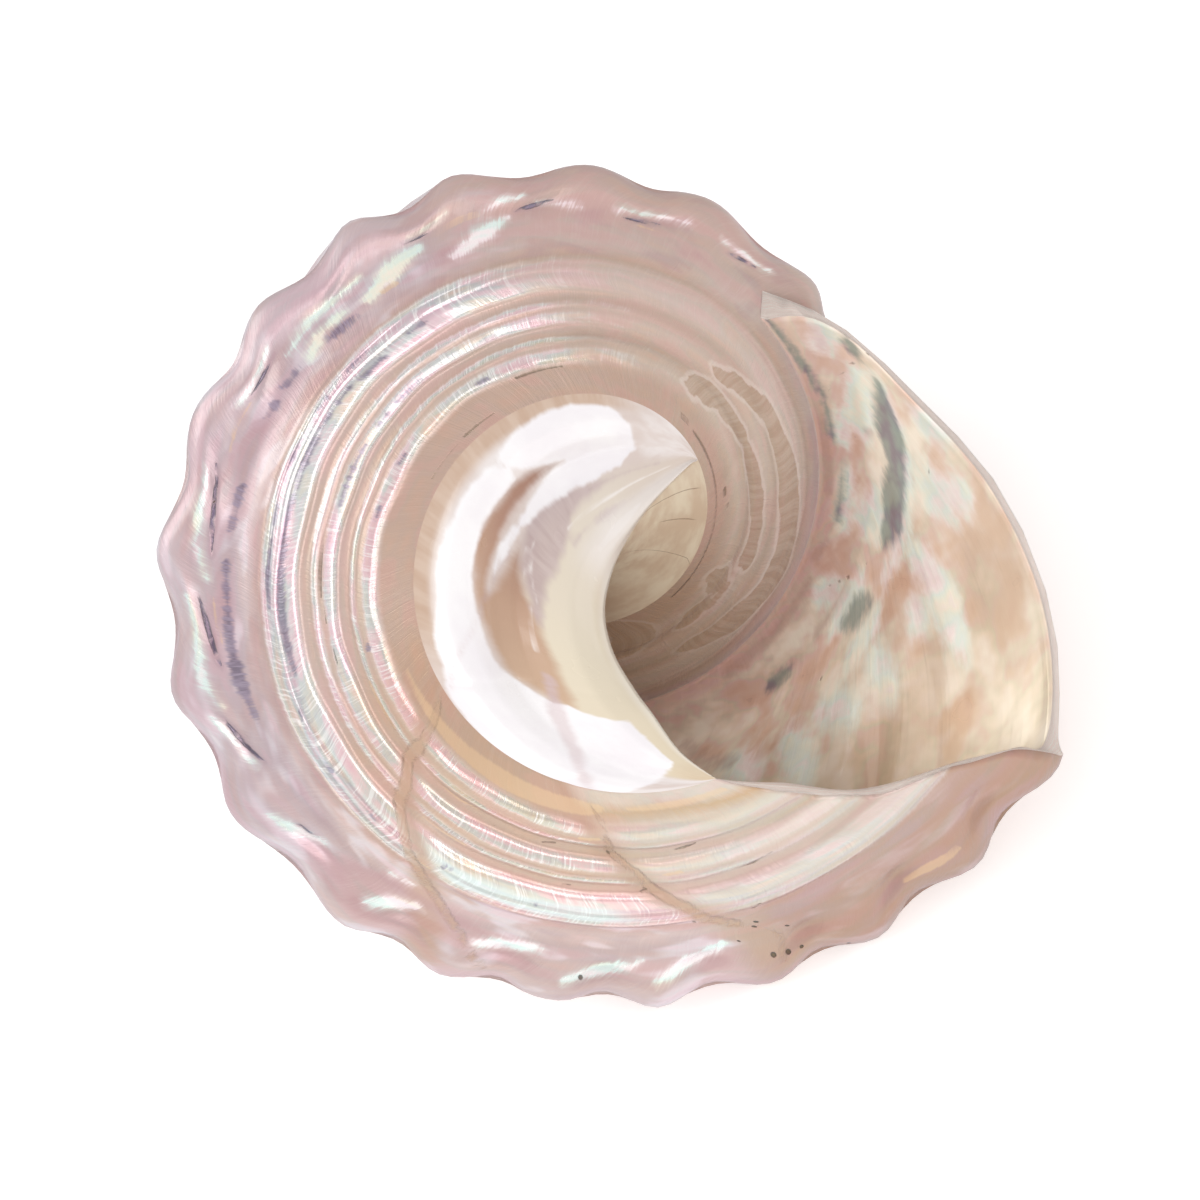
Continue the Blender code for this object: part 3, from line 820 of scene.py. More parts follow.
# Bright flecks of the glaze; the last stroke is a painted highlight along the columella.
FLECKS_AND_HIGHLIGHT = [[(0.42, 0.54, 0.006), (0.47, 0.57, 0.012), (0.52, 0.62, 0.005)],
          [(0.44, 0.52, 0.004), (0.50, 0.555, 0.007)], [(0.53, 0.585, 0.006), (0.61, 0.575, 0.008)],
          [(0.07, 0.65, 0.006), (0.20, 0.66, 0.012), (0.35, 0.64, 0.006)],
          [(0.15, 0.82, 0.015), (0.23, 0.83, 0.03), (0.31, 0.83, 0.015)]]


def crescent_marks(along, across):
    """Into the porcelain, the brown groove, the mauve glaze, its bright flecks and a painted highlight.
    """
    porcelain = np.max([inside_outline(along, across, lobe, CRESCENT_STRETCH)
                        for lobe in PORCELAIN_LOBES], axis=0)
    groove = inside_outline(along, across, GROOVE, CRESCENT_STRETCH)
    mauve = strokes(along, across, MAUVE, CRESCENT_STRETCH)
    flecks_and_highlight = strokes(along, across, FLECKS_AND_HIGHLIGHT, CRESCENT_STRETCH)
    return [porcelain, groove, mauve, flecks_and_highlight]


print("porcelain lobes:", len(PORCELAIN_LOBES), "mauve strokes:", len(MAUVE))

# %% [markdown]
# ## Marks inside the mouth
# The outer wall of the mouth is pearly, with painted slate-blue reflections, painted
# highlights round them and thin cracks. Places here run back from the lip in degrees, and
# by the rows of the inner profile.

# %% Painted slate reflections, painted highlights, streaks and cracks of the mouth's wall
WALL_STRETCH = 0.08
SLATE_WALL_REFLECTIONS = [
    [(6, 8.5, 0.06), (12, 8.48, 0.22), (18, 8.52, 0.27), (22, 8.42, 0.18), (28, 8.46, 0.24),
     (36, 8.54, 0.09)],
    [(44, 8.38, 0.06), (51, 8.56, 0.15), (57, 8.7, 0.05)],
    [(1, 8.74, 0.08), (4, 8.8, 0.13)],
    [(0, 9.88, 0.05), (10, 9.8, 0.10), (19, 9.66, 0.09)], [(21, 9.64, 0.05), (29, 9.64, 0.09)],
    [(33, 9.44, 0.03), (46, 9.5, 0.08)], [(74, 8.95, 0.08), (80, 9.0, 0.13)],
]
RED_STREAKS = [
    [(22, 9.8, 0.04), (32, 9.8, 0.12), (42, 9.75, 0.08)], [(51, 9.55, 0.05), (57, 9.72, 0.13)],
    [(53, 8.93, 0.05), (66, 9.0, 0.07)], [(79, 8.12, 0.06), (90, 8.45, 0.09), (100, 8.9, 0.06)],
    [(20.5, 8.85, 0.03), (22.5, 8.97, 0.06)], [(62, 9.6, 0.08), (90, 9.7, 0.14)],
]
TAN_PATCHES = [
    [(31, 7.72, 0.08), (35, 7.74, 0.14), (39, 7.8, 0.10)], [(46, 7.85, 0.08), (52, 8.0, 0.08)],
    [(25, 7.2, 0.20), (33, 6.95, 0.35), (43, 6.85, 0.12)], [(4, 6.6, 0.15), (12, 7.0, 0.30)],
    [(64, 7.9, 0.06), (72, 8.1, 0.10)], [(12, 8.1, 0.04), (34, 8.08, 0.08), (50, 8.15, 0.04)],
]
GLEAMS = [
    [(20.5, 6.9, 0.08), (22, 7.2, 0.20), (23, 7.55, 0.20), (26, 7.9, 0.12)],
    [(6, 7.35, 0.08), (11, 7.68, 0.18), (15, 7.9, 0.10)], [(0, 7.7, 0.10), (3, 7.9, 0.12)],
    [(39, 7.42, 0.07), (44, 7.85, 0.12)], [(49, 7.6, 0.08), (54, 7.85, 0.13), (59, 8.0, 0.05)],
    [(58, 7.32, 0.08), (62, 7.65, 0.14), (67, 8.05, 0.07)],
    [(71, 7.78, 0.07), (76, 8.0, 0.13), (81, 8.18, 0.05)], [(28.5, 7.55, 0.08), (31, 7.65, 0.12)],
    [(6, 8.5, 0.06), (14, 8.25, 0.08), (26, 8.22, 0.07), (38, 8.3, 0.05)],
    [(9, 8.8, 0.08), (16, 9.0, 0.15), (23, 9.12, 0.12)],
    [(31, 8.7, 0.08), (36, 8.82, 0.17), (41, 9.05, 0.12)],
    [(23, 9.35, 0.08), (28, 9.45, 0.10)], [(35, 9.34, 0.05), (46, 9.4, 0.06)],
    [(48, 8.68, 0.05), (54, 8.8, 0.10), (60, 8.82, 0.05)], [(57, 9.15, 0.09), (62, 9.33, 0.09)],
    [(42, 8.15, 0.05), (52, 8.2, 0.07)], [(2, 9.1, 0.14), (7, 9.3, 0.12)],
]
CRACKS = [
    [(0, 8.5, 0.012), (7, 8.85, 0.015), (20, 9.6, 0.010)], [(34, 8.6, 0.010), (37, 8.95, 0.012)],
    [(43, 8.7, 0.012), (52, 8.98, 0.018), (60, 9.32, 0.010)], [(59.5, 8.3, 0.02), (62, 8.42, 0.03)],
    [(9, 7.85, 0.01), (14, 7.95, 0.012)], [(26, 7.75, 0.01), (28, 7.85, 0.012)],
]


def wall_marks(back, row):
    """Into a painted slate reflection, a red streak, a painted highlight and a tan patch."""
    return [strokes(back, row, many, WALL_STRETCH)
            for many in (SLATE_WALL_REFLECTIONS, RED_STREAKS, GLEAMS, TAN_PATCHES)]


def wall_stains(back, row):
    """Into a crack of the mouth's wall; one number stands in all four places."""
    return [strokes(back, row, CRACKS, WALL_STRETCH)] * 4


print("wall streaks:", len(SLATE_WALL_REFLECTIONS), "clouds:", len(GLEAMS), "cracks:", len(CRACKS))

# %% [markdown]
# ## Keeping the marks on the mesh
# Every face corner gets eight numbers of its own sheet, in two corner attributes. The old
# whorl under the mouth is the same surface as the outside, so it takes the same marks.
# One material per sheet reads them, and the sheet's number picks the material.

# %% Corner marks and material slots
coil_places = np.empty(len(mesh.loops) * 3, np.float32)
mesh.attributes["coil"].data.foreach_get("vector", coil_places)
coil_places = coil_places.reshape(-1, 3)
sheet_of_corner = coil_places[:, 2].round().astype(int)
# The outside's stains layer also keeps its painted slate reflections.
NUMBERS_OF = {
    "marks": {OUTSIDE: outside_marks, OLD_WHORL: outside_marks, PORCELAIN: crescent_marks,
              WALL: wall_marks},
    "stains": {OUTSIDE: outside_stains_and_reflections, OLD_WHORL: outside_stains_and_reflections, WALL: wall_stains},
}
for layer_name, functions in NUMBERS_OF.items():
    numbers = np.full((len(coil_places), 4), -1.0)
    for sheet, function in functions.items():
        chosen = sheet_of_corner == sheet
        found = function(coil_places[chosen, 0], coil_places[chosen, 1])
        numbers[chosen] = np.stack(found, -1)
    layer = mesh.attributes.new(layer_name, "FLOAT_COLOR", "CORNER")
    layer.data.foreach_set("color", numbers.astype(np.float32).ravel())
first_corners = np.empty(len(mesh.polygons), int)
mesh.polygons.foreach_get("loop_start", first_corners)
mesh.polygons.foreach_set("material_index", sheet_of_corner[first_corners].astype(np.int32))
print("corners per sheet:", np.bincount(sheet_of_corner))

# %% [markdown]
# ## A small language for shaders
# Node trees are quicker to read as sums. One class wraps a socket, so that a sum on it
# adds a Math node, and one method makes any other node from its type, its settings and
# its sockets.

# %% Values and finishes
def operator(kind, swapped=False):
    """A method of Value that adds one Math node."""
    def method(value, other):
        return value.finish.math(kind, *((other, value) if swapped else (value, other)))
    return method


class Value:
    """A socket of a node tree that can be added to, taken away, multiplied and divided."""

    def __init__(self, finish, socket):
        self.finish = finish
        self.socket = socket

    __add__, __radd__ = operator("ADD"), operator("ADD", True)
    __sub__, __rsub__ = operator("SUBTRACT"), operator("SUBTRACT", True)
    __mul__, __truediv__, __pow__ = operator("MULTIPLY"), operator("DIVIDE"), operator("POWER")


class Finish:
    """One material: its nodes, and the places and marks that all of them read."""

    def __init__(self, name):
        self.material = bpy.data.materials.new(name)
        self.material.use_nodes = True
        self.tree = self.material.node_tree
        self.shader = self.tree.nodes["Principled BSDF"]
        coil = self.node("ShaderNodeAttribute", {"attribute_name": "coil"}, output="Vector")
        self.along, self.row = self.split(coil)[:2]
        self.marks = self.four_numbers("marks")
        self.stains = self.four_numbers("stains")
        self.colour = None

    def four_numbers(self, name):
        """The four numbers that a corner attribute keeps."""
        colour = self.node("ShaderNodeAttribute", {"attribute_name": name}, output="Color")
        return self.split(colour) + [Value(self, colour.socket.node.outputs["Alpha"])]

    def node(self, kind, settings=None, sockets=None, output=0):
        """Any node, from its type, its settings and the values of its sockets."""
        made = self.tree.nodes.new(kind)
        for name, setting in (settings or {}).items():
            if name == "stops":
                self.fill_ramp(made.color_ramp, setting)
            else:
                setattr(made, name, setting)
        for name, value in (sockets or {}).items():
            self.join(value, made.inputs[name])
        return Value(self, made.outputs[output])

    def fill_ramp(self, ramp, stops):
        """Give a colour ramp its stops, each a place and a colour."""
        while len(ramp.elements) < len(stops):
            ramp.elements.new(0.5)
        for element, (place, colour) in zip(ramp.elements, stops):
            element.position = place
            element.color = colour

    def join(self, value, socket):
        """Link a value to a socket, or set the socket to a plain number or colour."""
        if isinstance(value, Value):
            self.tree.links.new(value.socket, socket)
        else:
            socket.default_value = value

    def split(self, vector):
        """The three numbers of a vector or colour."""
        made = self.node("ShaderNodeSeparateXYZ", None, {0: vector}).socket.node
        return [Value(self, made.outputs[k]) for k in range(3)]

    def math(self, operation, *values):
        """A Math node."""
        return self.node("ShaderNodeMath", {"operation": operation}, dict(enumerate(values)))

    def place(self, x, y, z):
        """A vector of three numbers."""
        return self.node("ShaderNodeCombineXYZ", None, {0: x, 1: y, 2: z})

    def noise(self, x, y, seed, detail=2.0, roughness=0.55):
        """Soft noise over two numbers; the seed is the third."""
        sockets = {"Vector": self.place(x, y, seed), "Scale": 1.0, "Detail": detail,
                   "Roughness": roughness}
        return self.node("ShaderNodeTexNoise", None, sockets)

    def ease(self, value, low, high):
        """0 below low, 1 above high."""
        sockets = {"Value": value, "From Min": low, "From Max": high}
        return self.node("ShaderNodeMapRange", {"interpolation_type": "SMOOTHSTEP"}, sockets)

    def between(self, value, start, stop, soft):
        """1 from start to stop."""
        return self.ease(value, start - soft, start + soft) * (
            1 - self.ease(value, stop - soft, stop + soft))

    def mix(self, share, below, above, kind="MIX"):
        """Two colours mixed; share 0 gives the one below."""
        settings = {"data_type": "RGBA", "blend_type": kind}
        return self.node("ShaderNodeMix", settings, {0: share, 6: below, 7: above}, output=2)

    def tint(self, value, low, high, below, above):
        """One colour code below low, another above high."""
        return self.mix(self.ease(value, low, high), paint(below), paint(above))

    def lay(self, share, over, kind="MIX"):
        """Lay a colour code, or a value, over the finish's colour so far."""
        over = paint(over) if isinstance(over, str) else over
        self.colour = self.mix(share, self.colour, over, kind)

    def ramp(self, value, stops):
        """A colour ramp along a value."""
        return self.node("ShaderNodeValToRGB", {"stops": stops}, {0: value})

    def bump(self, height, distance, strength, under=None):
        """A bumped normal; distance is the relief's depth in metres."""
        sockets = {"Height": height, "Distance": distance, "Strength": strength}
        if under is not None:
            sockets["Normal"] = under
        return self.node("ShaderNodeBump", None, sockets)

    def surface(self, **sockets):
        """Values and links of the shader, named with underscores for spaces."""
        for name, value in sockets.items():
            self.join(value, self.shader.inputs[name.replace("_", " ")])


def paint(code):
    """A colour from its screen code, as the linear numbers that shaders use."""
    screen = [int(code[k:k + 2], 16) / 255 for k in (0, 2, 4)]
    linear = [c / 12.92 if c < 0.04045 else ((c + 0.055) / 1.055) ** 2.4 for c in screen]
    return (*linear, 1.0)


def stops(colours, first=0.0, last=1.0):
    """Ramp stops from pairs of a place between first and last and a colour code."""
    return [((place - first) / (last - first), paint(code)) for place, code in colours]


print("pale mauve is", [round(c, 3) for c in paint("CDB9BE")])

# %% [markdown]
# ## The play of colour
# Mother-of-pearl is made of thin layers, so it throws pink, blue, green and gold at
# different angles. A thin film on the shader gives part of it. The broad shifts of tint
# that the eye sees on a real shell are laid into the colour along the growth lines.

# %% Pearl: shared by the outside and the mouth
ORIENT = stops([(0.20, "FFE6DA"), (0.34, "FFDDEC"), (0.44, "FFF3F8"), (0.52, "D3F6F3"),
                (0.60, "E4F9E4"), (0.68, "FFF4D8"), (0.80, "FBDFF2")])


def pearl_film(finish):
    """The constant settings of polished nacre."""
    finish.surface(IOR=1.6, Coat_IOR=1.5, Coat_Roughness=0.06, Thin_Film_Thickness=420.0,
                   Thin_Film_IOR=1.45)


print("tints of the pearl:", len(ORIENT))

# %% [markdown]
# ## The outside: lines of growth and tones of the rows
# Polishing cuts through the layers, so every row of the profile has its own tone: pearly
# on the cords, dull mauve between them, cream towards the lip. Colour ramps over the rows
# give the tones, and noise that leans with the lines of growth frays their edges.

# %% The outside: fine lines of growth, and the tones of the rows
outside = Finish("outer_pearl")
angle, row = outside.along, outside.row
gleam_mark, dark_mark, pearl_share, brown_mark = outside.marks
scar_mark, stain_mark, slate_reflection_mark, gold_mark = outside.stains
# The lines of growth lean: lower rows were laid down a little later.
LEAN = 4.0
lean = angle - row * LEAN
slow = outside.noise(angle * 0.035, row * 0.4, 0.3)
striae = outside.noise(lean * 0.55, row * 0.30, 3.1, 3.0, 0.6)
hairs = outside.noise(lean * 2.6, row * 0.8, 7.7, 3.0, 0.65)
patches = outside.noise(angle * 0.12, row * 1.4, 5.2, 3.0, 0.6)
band_row = row + (slow - 0.5) * 0.45 + (striae - 0.5) * 0.20 + (hairs - 0.5) * 0.14

FIRST_ROW, LAST_ROW = 5.0, 17.0
# Partly painted light: besides the nacre's own tones, the thin bright line at each cord's outer edge and
# the broad bright band on its top are painted highlights, and the greyer lines between them are painted
# dark reflections.
PEARL_ROWS = [(5.0, "CDB4B4"), (6.5, "D6C8CE"), (7.8, "D3C2C7"), (8.6, "CBBAC1"),
              (9.2, "DCCDD0"), (9.6, "D4BDBC"), (9.9, "CFB5AF"), (10.02, "F4EBF0"),
              (10.5, "E0D5E0"), (10.75, "F2EAF1"), (11.0, "E2D6E1"),
              (11.25, "FBF3F9"), (11.75, "FBF1F6"), (11.92, "DEC9C5"), (12.4, "D7C0B8"),
              (12.5, "F2E8EC"), (12.68, "EFE5E8"), (12.85, "D7C1B9"), (13.02, "DFCCC6"),
              (13.14, "F8EFF5"), (13.62, "F5EAEF"), (13.82, "DAC6C0"), (14.5, "D5BEB4"),
              (14.62, "F6EEF0"), (14.95, "D7C0B6"), (15.2, "DAC7BE"),
              (15.34, "F6EDF0"), (15.85, "E9DCDA"), (16.1, "CDB4A8")]
DULL_ROWS = [(5.0, "C8AEAA"), (7.0, "CAB2AE"), (8.5, "CCB6B2"), (9.2, "D1BEBA"), (9.9, "C8AEA5"),
             (10.3, "D3BEB8"), (11.5, "D8C7C3"), (12.3, "CAB3AA"), (13.2, "D5C2BB"),
             (14.4, "C8ADA3"), (15.5, "D5C2B9"), (16.3, "C8ABA0")]
CREAM_ROWS = [(5.0, "C5A89D"), (6.5, "C9AFA4"), (8.0, "CFBAB4"), (9.5, "D0BDB6"), (10.3, "DACCC4"),
              (11.0, "E8DFD9"), (11.6, "D9CAC3"), (12.2, "D2C1B8"), (13.0, "E2D8CF"),
              (13.4, "ECE5DF"), (14.0, "D3C1B4"), (14.8, "D9CABF"), (15.5, "E5DCD4"),
              (16.0, "DFCFC3"), (16.3, "D6B596"), (16.6, "E6DBD5")]
place_in_rows = (band_row - FIRST_ROW) / (LAST_ROW - FIRST_ROW)
pearl_colour, dull_colour, cream_colour = [
    outside.ramp(place_in_rows, stops(rows, FIRST_ROW, LAST_ROW))
    for rows in (PEARL_ROWS, DULL_ROWS, CREAM_ROWS)]
CREAM_FROM = 298.0
near_lip = outside.ease(angle, CREAM_FROM - 4, CREAM_FROM + 4)
dull_colour = outside.mix(near_lip, dull_colour, cream_colour)
share = outside.ease(pearl_share + (patches - 0.5) * 0.6, 0.2, 0.85)
outside.colour = outside.mix(share, dull_colour, pearl_colour)
# Past the first pause the pearl between the cords turns tan.
tan_run = outside.between(angle, 232.0, 300.0, 8.0)
outside.lay(tan_run * 0.7, "FFF3E6", "MULTIPLY")

# The wide run between the keel and the cords is a shade of mauve darker.
skin = 1 - outside.ease(band_row, 9.75, 10.05)
skin_tint = outside.mix(share, paint("F6EDEC"), paint("F4EAEE"))
outside.lay(1.0, outside.mix(skin, paint("F4ECEA"), skin_tint), "MULTIPLY")
outside.lay(outside.ease(angle, 292.0, 304.0) * skin, "EAD6C9", "MULTIPLY")
keel_dusk = outside.noise(angle * 0.09, row * 0.9, 12.0, 2.0)
outside.lay(outside.ease(keel_dusk, 0.50, 0.66) * skin * 0.45, "B9959A")
outside.lay(outside.ease(1 - keel_dusk, 0.52, 0.66) * skin * share * 0.5, "ECE0EA")
print("stops of the row ramps:", len(PEARL_ROWS), len(DULL_ROWS), len(CREAM_ROWS))

# %% [markdown]
# ## The outside: play of colour
# The cords stand out, so they were polished deepest and shine most. The pearl's tints
# multiply the tone there, and bright and dark hair lines run across them: painted glints
# and painted dark reflections.

# %% The outside: play of colour on the cord tops
cord_tops = (outside.between(band_row, 10.02, 11.8, 0.08) + outside.between(band_row, 12.5, 12.68, 0.05)
             + outside.between(band_row, 13.1, 13.7, 0.08) + outside.between(band_row, 14.6, 14.82, 0.05)
             + outside.between(band_row, 15.32, 15.9, 0.08)) * share
hue = outside.noise(lean * 0.07 + row * 0.2, row * 1.3, 1.7, 2.0)
orient = outside.ramp(hue + (hairs - 0.5) * 0.12, ORIENT)
outside.lay(0.20 + cord_tops * 0.50, orient, "MULTIPLY")
# Painted glints and painted dark reflections: bright and dark hair lines over the cords.
sparkle = outside.ease(hairs + (striae - 0.5) * 0.6, 0.52, 0.66)
calm = 1 - outside.ease(angle, 290.0, 300.0) * 0.75
outside.lay(sparkle * (0.03 + cord_tops * 0.60) * calm, "FFFDFD")
shade = outside.ease(1 - hairs + (striae - 0.5) * 0.5, 0.54, 0.68)
outside.lay(shade * (0.06 + cord_tops * 0.22), "B9A3AE")
cool_run = outside.between(angle, 252.0, 284.0, 3.0) * outside.between(band_row, 10.2, 11.2, 0.15)
outside.lay(cool_run * 0.55, "E2F5F5")
print("nodes with the play of colour:", len(outside.tree.nodes))

# %% [markdown]
# ## The outside: the drawn marks
# Noise is added to the distance of each mark before a soft threshold cuts it. That makes
# a smooth stroke ragged, and one way of doing it serves all the marks.

# %% The outside: painted slate reflections, flutes, golden lines
ragged = (striae - 0.5) * 0.22 + (hairs - 0.5) * 0.26
# Painted reflection: slate smudges where the polished nacre mirrors the dark side of the room.
slate = outside.ease(slate_reflection_mark + ragged * 1.9, -0.12, 0.08)
slate_tint = outside.tint(hairs, 0.35, 0.65, "5C5672", "9489A3")
outside.lay(slate * 0.78, slate_tint)
# Painted highlights: pale gleams with halos above the flutes.
halo = outside.ease(gleam_mark + (patches - 0.5) * 0.5 + ragged, -0.22, 0.10)
gleam = outside.ease(gleam_mark + (patches - 0.5) * 0.25 + ragged * 1.2, -0.05, 0.10)
gleam_tint = outside.mix(0.6, paint("FAFBFA"), orient, "MULTIPLY")
outside.lay(halo * 0.35 + gleam * 0.55, gleam_tint)
gold = outside.ease(gold_mark + ragged * 0.3, -0.04, 0.05)
outside.lay(gold * 0.5, "E6C29C")
# Painted reflections: the flutes' dark crescents, with violet rims.
dark = outside.ease(dark_mark + ragged * 0.18, -0.02, 0.045)
violet_rim = outside.ease(dark_mark + ragged * 0.4, -0.13, 0.0)
outside.lay(violet_rim * 0.35, "A48A98")
dark_tint = outside.tint(striae, 0.35, 0.65, "4E4A63", "7A7390")
outside.lay(dark * 0.9, dark_tint)
print("nodes with the drawn marks:", len(outside.tree.nodes))

# %% [markdown]
# ## The outside: glaze, scars and pits
# Beside the mouth the glaze is milky round the bare brown patches, and painted shade
# darkens the wall towards the cavity. Scars, stains and pits come last, because they cut
# through it all.

# %% The outside: glaze and brown patches near the mouth, scars, stains and pits
patch_edge = brown_mark + (patches - 0.5) * 0.5 + (hairs - 0.5) * 0.08
near_mouth = outside.between(angle, -60.0, 92.0, 4.0)
brown = outside.ease(patch_edge, -0.14, -0.05) * near_mouth
glazed = outside.ease(patch_edge, -0.36, -0.20) * (1 - brown) * near_mouth
outside.lay(glazed * 0.5, "DCCBC5")
brown_tint = outside.tint(striae, 0.35, 0.65, "AE8F80", "BCA396")
outside.lay(brown * 0.8, brown_tint)
# Painted shade: the old whorl darkens as it runs into the cavity.
painted_cavity_shade = (outside.ease(0 - angle + (row - 12.0) * 6.0, 0.0, 40.0) * near_mouth
        * outside.ease(row, 8.5, 10.0))
outside.lay(painted_cavity_shade * 0.5, "A4866C")
scar = outside.ease(scar_mark + ragged * 1.4 + (patches - 0.5) * 0.5, -0.10, 0.22)
outside.lay(scar * 0.55, "C2A088")
stain = outside.ease(stain_mark + ragged * 0.25, -0.03, 0.04)
outside.lay(stain * 0.7, "74604F")
pit = 0.0
for pit_angle, pit_row, pit_size in PITS:
    reach = ((angle - pit_angle) * OUTSIDE_STRETCH) ** 2 + (row - pit_row) ** 2
    pit = pit + (1 - outside.ease(reach, pit_size ** 2 * 0.3, pit_size ** 2 * 1.3))
outside.lay(pit * 0.85, "4A332A")
print("nodes with scars and pits:", len(outside.tree.nodes))

# %% [markdown]
# ## The outside: gloss and relief
# Pearl is smooth and a little metallic, while a scar is rough. One bump gives the fine
# lines of growth, and a second on top of it sinks the scars, stains and pits.

# %% The outside: gloss and relief
gloss = cord_tops * 0.12 + gleam * 0.12 + dark * 0.12
outside.surface(Base_Color=outside.colour, Metallic=0.08 + share * 0.20 + cord_tops * 0.15,
                Roughness=0.36 - gloss + (striae - 0.5) * 0.12 + scar * 0.15,
                Coat_Weight=0.35 + cord_tops * 0.3)
relief = striae * 0.45 + hairs * 0.40 + slow * 0.4
fine_normal = outside.bump(relief, 0.00022, 0.6)
hollows = 1 - (scar * 0.5 + pit + stain * 0.4 + dark * 0.4)
outside.surface(Normal=outside.bump(hollows, 0.0005, 0.8, fine_normal))
pearl_film(outside)
print("outer pearl nodes:", len(outside.tree.nodes))

# %% [markdown]
# ## Porcelain
# The callus is opaque white porcelain with a wet gloss. It ends in lobes against the
# brown bottom of the groove, and the columella beside it is ivory.

# %% The crescent
porcelain = Finish("callus_porcelain")
along, across = porcelain.along, porcelain.row
white, groove, mauve, fleck_and_highlight = porcelain.marks
cloud = porcelain.noise(along * 9.0, across * 3.0, 2.0, 3.0)
grain = porcelain.noise(along * 60.0, across * 4.0, 4.0, 2.0)
ragged = (cloud - 0.5) * 0.10 + (grain - 0.5) * 0.03
ivory = porcelain.ramp(along + (cloud - 0.5) * 0.12,
                       stops([(0.0, "D6C6BC"), (0.25, "E0D5C8"), (0.6, "E4D9C4"),
                              (0.9, "E0D2B9"), (1.0, "D4BFA4")]))
beige = porcelain.tint(cloud, 0.35, 0.6, "D9CAC4", "E9E1DF")
tan = porcelain.tint(grain, 0.3, 0.7, "C6A994", "D2BAA8")
outer_edge = porcelain.between(along, 0.16, 0.66, 0.06) * (1 - porcelain.ease(across, 0.05, 0.12))
porcelain.colour = porcelain.mix(outer_edge, beige, tan)
porcelain.lay(porcelain.ease(across + (cloud - 0.5) * 0.15, 0.44, 0.60), ivory)
brown = porcelain.ramp(along + (cloud - 0.5) * 0.10,
                       stops([(0.30, "9E7767"), (0.42, "AC8471"), (0.55, "C29F87"),
                              (0.72, "CDAF94")]))
porcelain.lay(porcelain.ease(groove + ragged, -0.03, 0.05), brown)
mauve_tint = porcelain.tint(grain, 0.3, 0.7, "B59DA0", "C6B2B3")
porcelain.lay(porcelain.ease(mauve + ragged * 1.4, -0.02, 0.04) * 0.75, mauve_tint)
milk = porcelain.tint(cloud, 0.35, 0.65, "F3EFF3", "FAF8FA")
porcelain.lay(porcelain.ease(white + ragged, -0.012, 0.02), milk)
pink_vein = porcelain.ease(mauve + ragged, -0.02, 0.03) * porcelain.ease(along, 0.55, 0.65)
porcelain.lay(pink_vein * 0.5, "D6BFC1")
# Bright flecks, and a painted highlight on the columella.
porcelain.lay(porcelain.ease(fleck_and_highlight + ragged * 0.3, -0.010, 0.012) * 0.7, "F6F1EF")
nub = porcelain.ease(across + (cloud - 0.5) * 0.1, 0.68, 0.80) * (1 - porcelain.ease(along, 0.30, 0.42))
porcelain.lay(nub * 0.75, "EDE6E2")
crest_edge = porcelain.ease(across, 0.93, 0.985)
porcelain.lay(crest_edge * 0.5, "F2ECE4")
porcelain.surface(Base_Color=porcelain.colour, Roughness=0.26 + (cloud - 0.5) * 0.1, Coat_Weight=0.4,
                  Coat_Roughness=0.08,
                  Normal=porcelain.bump(cloud * 0.6 + grain * 0.1, 0.00025, 0.5))
print("porcelain nodes:", len(porcelain.tree.nodes))

# %% [markdown]
# ## The pillar
# Behind the crest the columella goes on as a cream-tan pillar with fine lines that run
# round it.

# %% The pillar
pillar_finish = Finish("pillar_ivory")
back_angle, place_on = pillar_finish.along, pillar_finish.row
lines = pillar_finish.noise(back_angle * 0.05, place_on * 26.0, 1.0, 3.0)
pillar_finish.colour = pillar_finish.tint(lines, 0.35, 0.7, "CDB69E", "E0D2BB")
# Dark hair lines: first and last place of each, as (degrees back, place on the pillar).
HAIR_LINES = [((0, 0.125), (13, 0.02)), ((37, 0.165), (51, 0.0)), ((20, 0.09), (28, 0.03))]
for (back_start, place_start), (back_stop, place_stop) in HAIR_LINES:
    rise = (place_stop - place_start) / (back_stop - back_start)
    offset = place_on - (back_angle - back_start) * rise - place_start + (lines - 0.5) * 0.012
    hair = 1 - pillar_finish.ease(pillar_finish.math("ABSOLUTE", offset), 0.0008, 0.0028)
    hair = hair * pillar_finish.between(back_angle, back_start, back_stop, 1.0)
    pillar_finish.lay(hair * 0.7, "7D5F4B")
# Painted shade: the pillar darkens further back in the cavity.
painted_cavity_shade = pillar_finish.ease(back_angle, 60.0, 130.0)
pillar_finish.lay(painted_cavity_shade * 0.6, "9A7862")
edge = pillar_finish.ease(place_on, 0.2, 0.4)
pillar_finish.lay(edge * 0.7, "E2D6C0")
pillar_finish.surface(Base_Color=pillar_finish.colour, Roughness=0.28, Coat_Weight=0.4,
                      Coat_Roughness=0.08, Normal=pillar_finish.bump(lines, 0.0002, 0.5))
print("pillar nodes:", len(pillar_finish.tree.nodes))

# %% [markdown]
# ## The mouth's wall
# Inside the lip the nacre is golden with pink, green and blue clouds, crossed by a few
# painted slate reflections. Painted light makes the wall lighter near the lip, and painted
# shade darkens it further back.

# %% The wall of the mouth
mouth = Finish("mouth_pearl")
back_angle, wall_row = mouth.along, mouth.row
slate_reflection_mark, red_mark, gleam_mark, tan_mark = mouth.marks
crack_mark = mouth.stains[0]
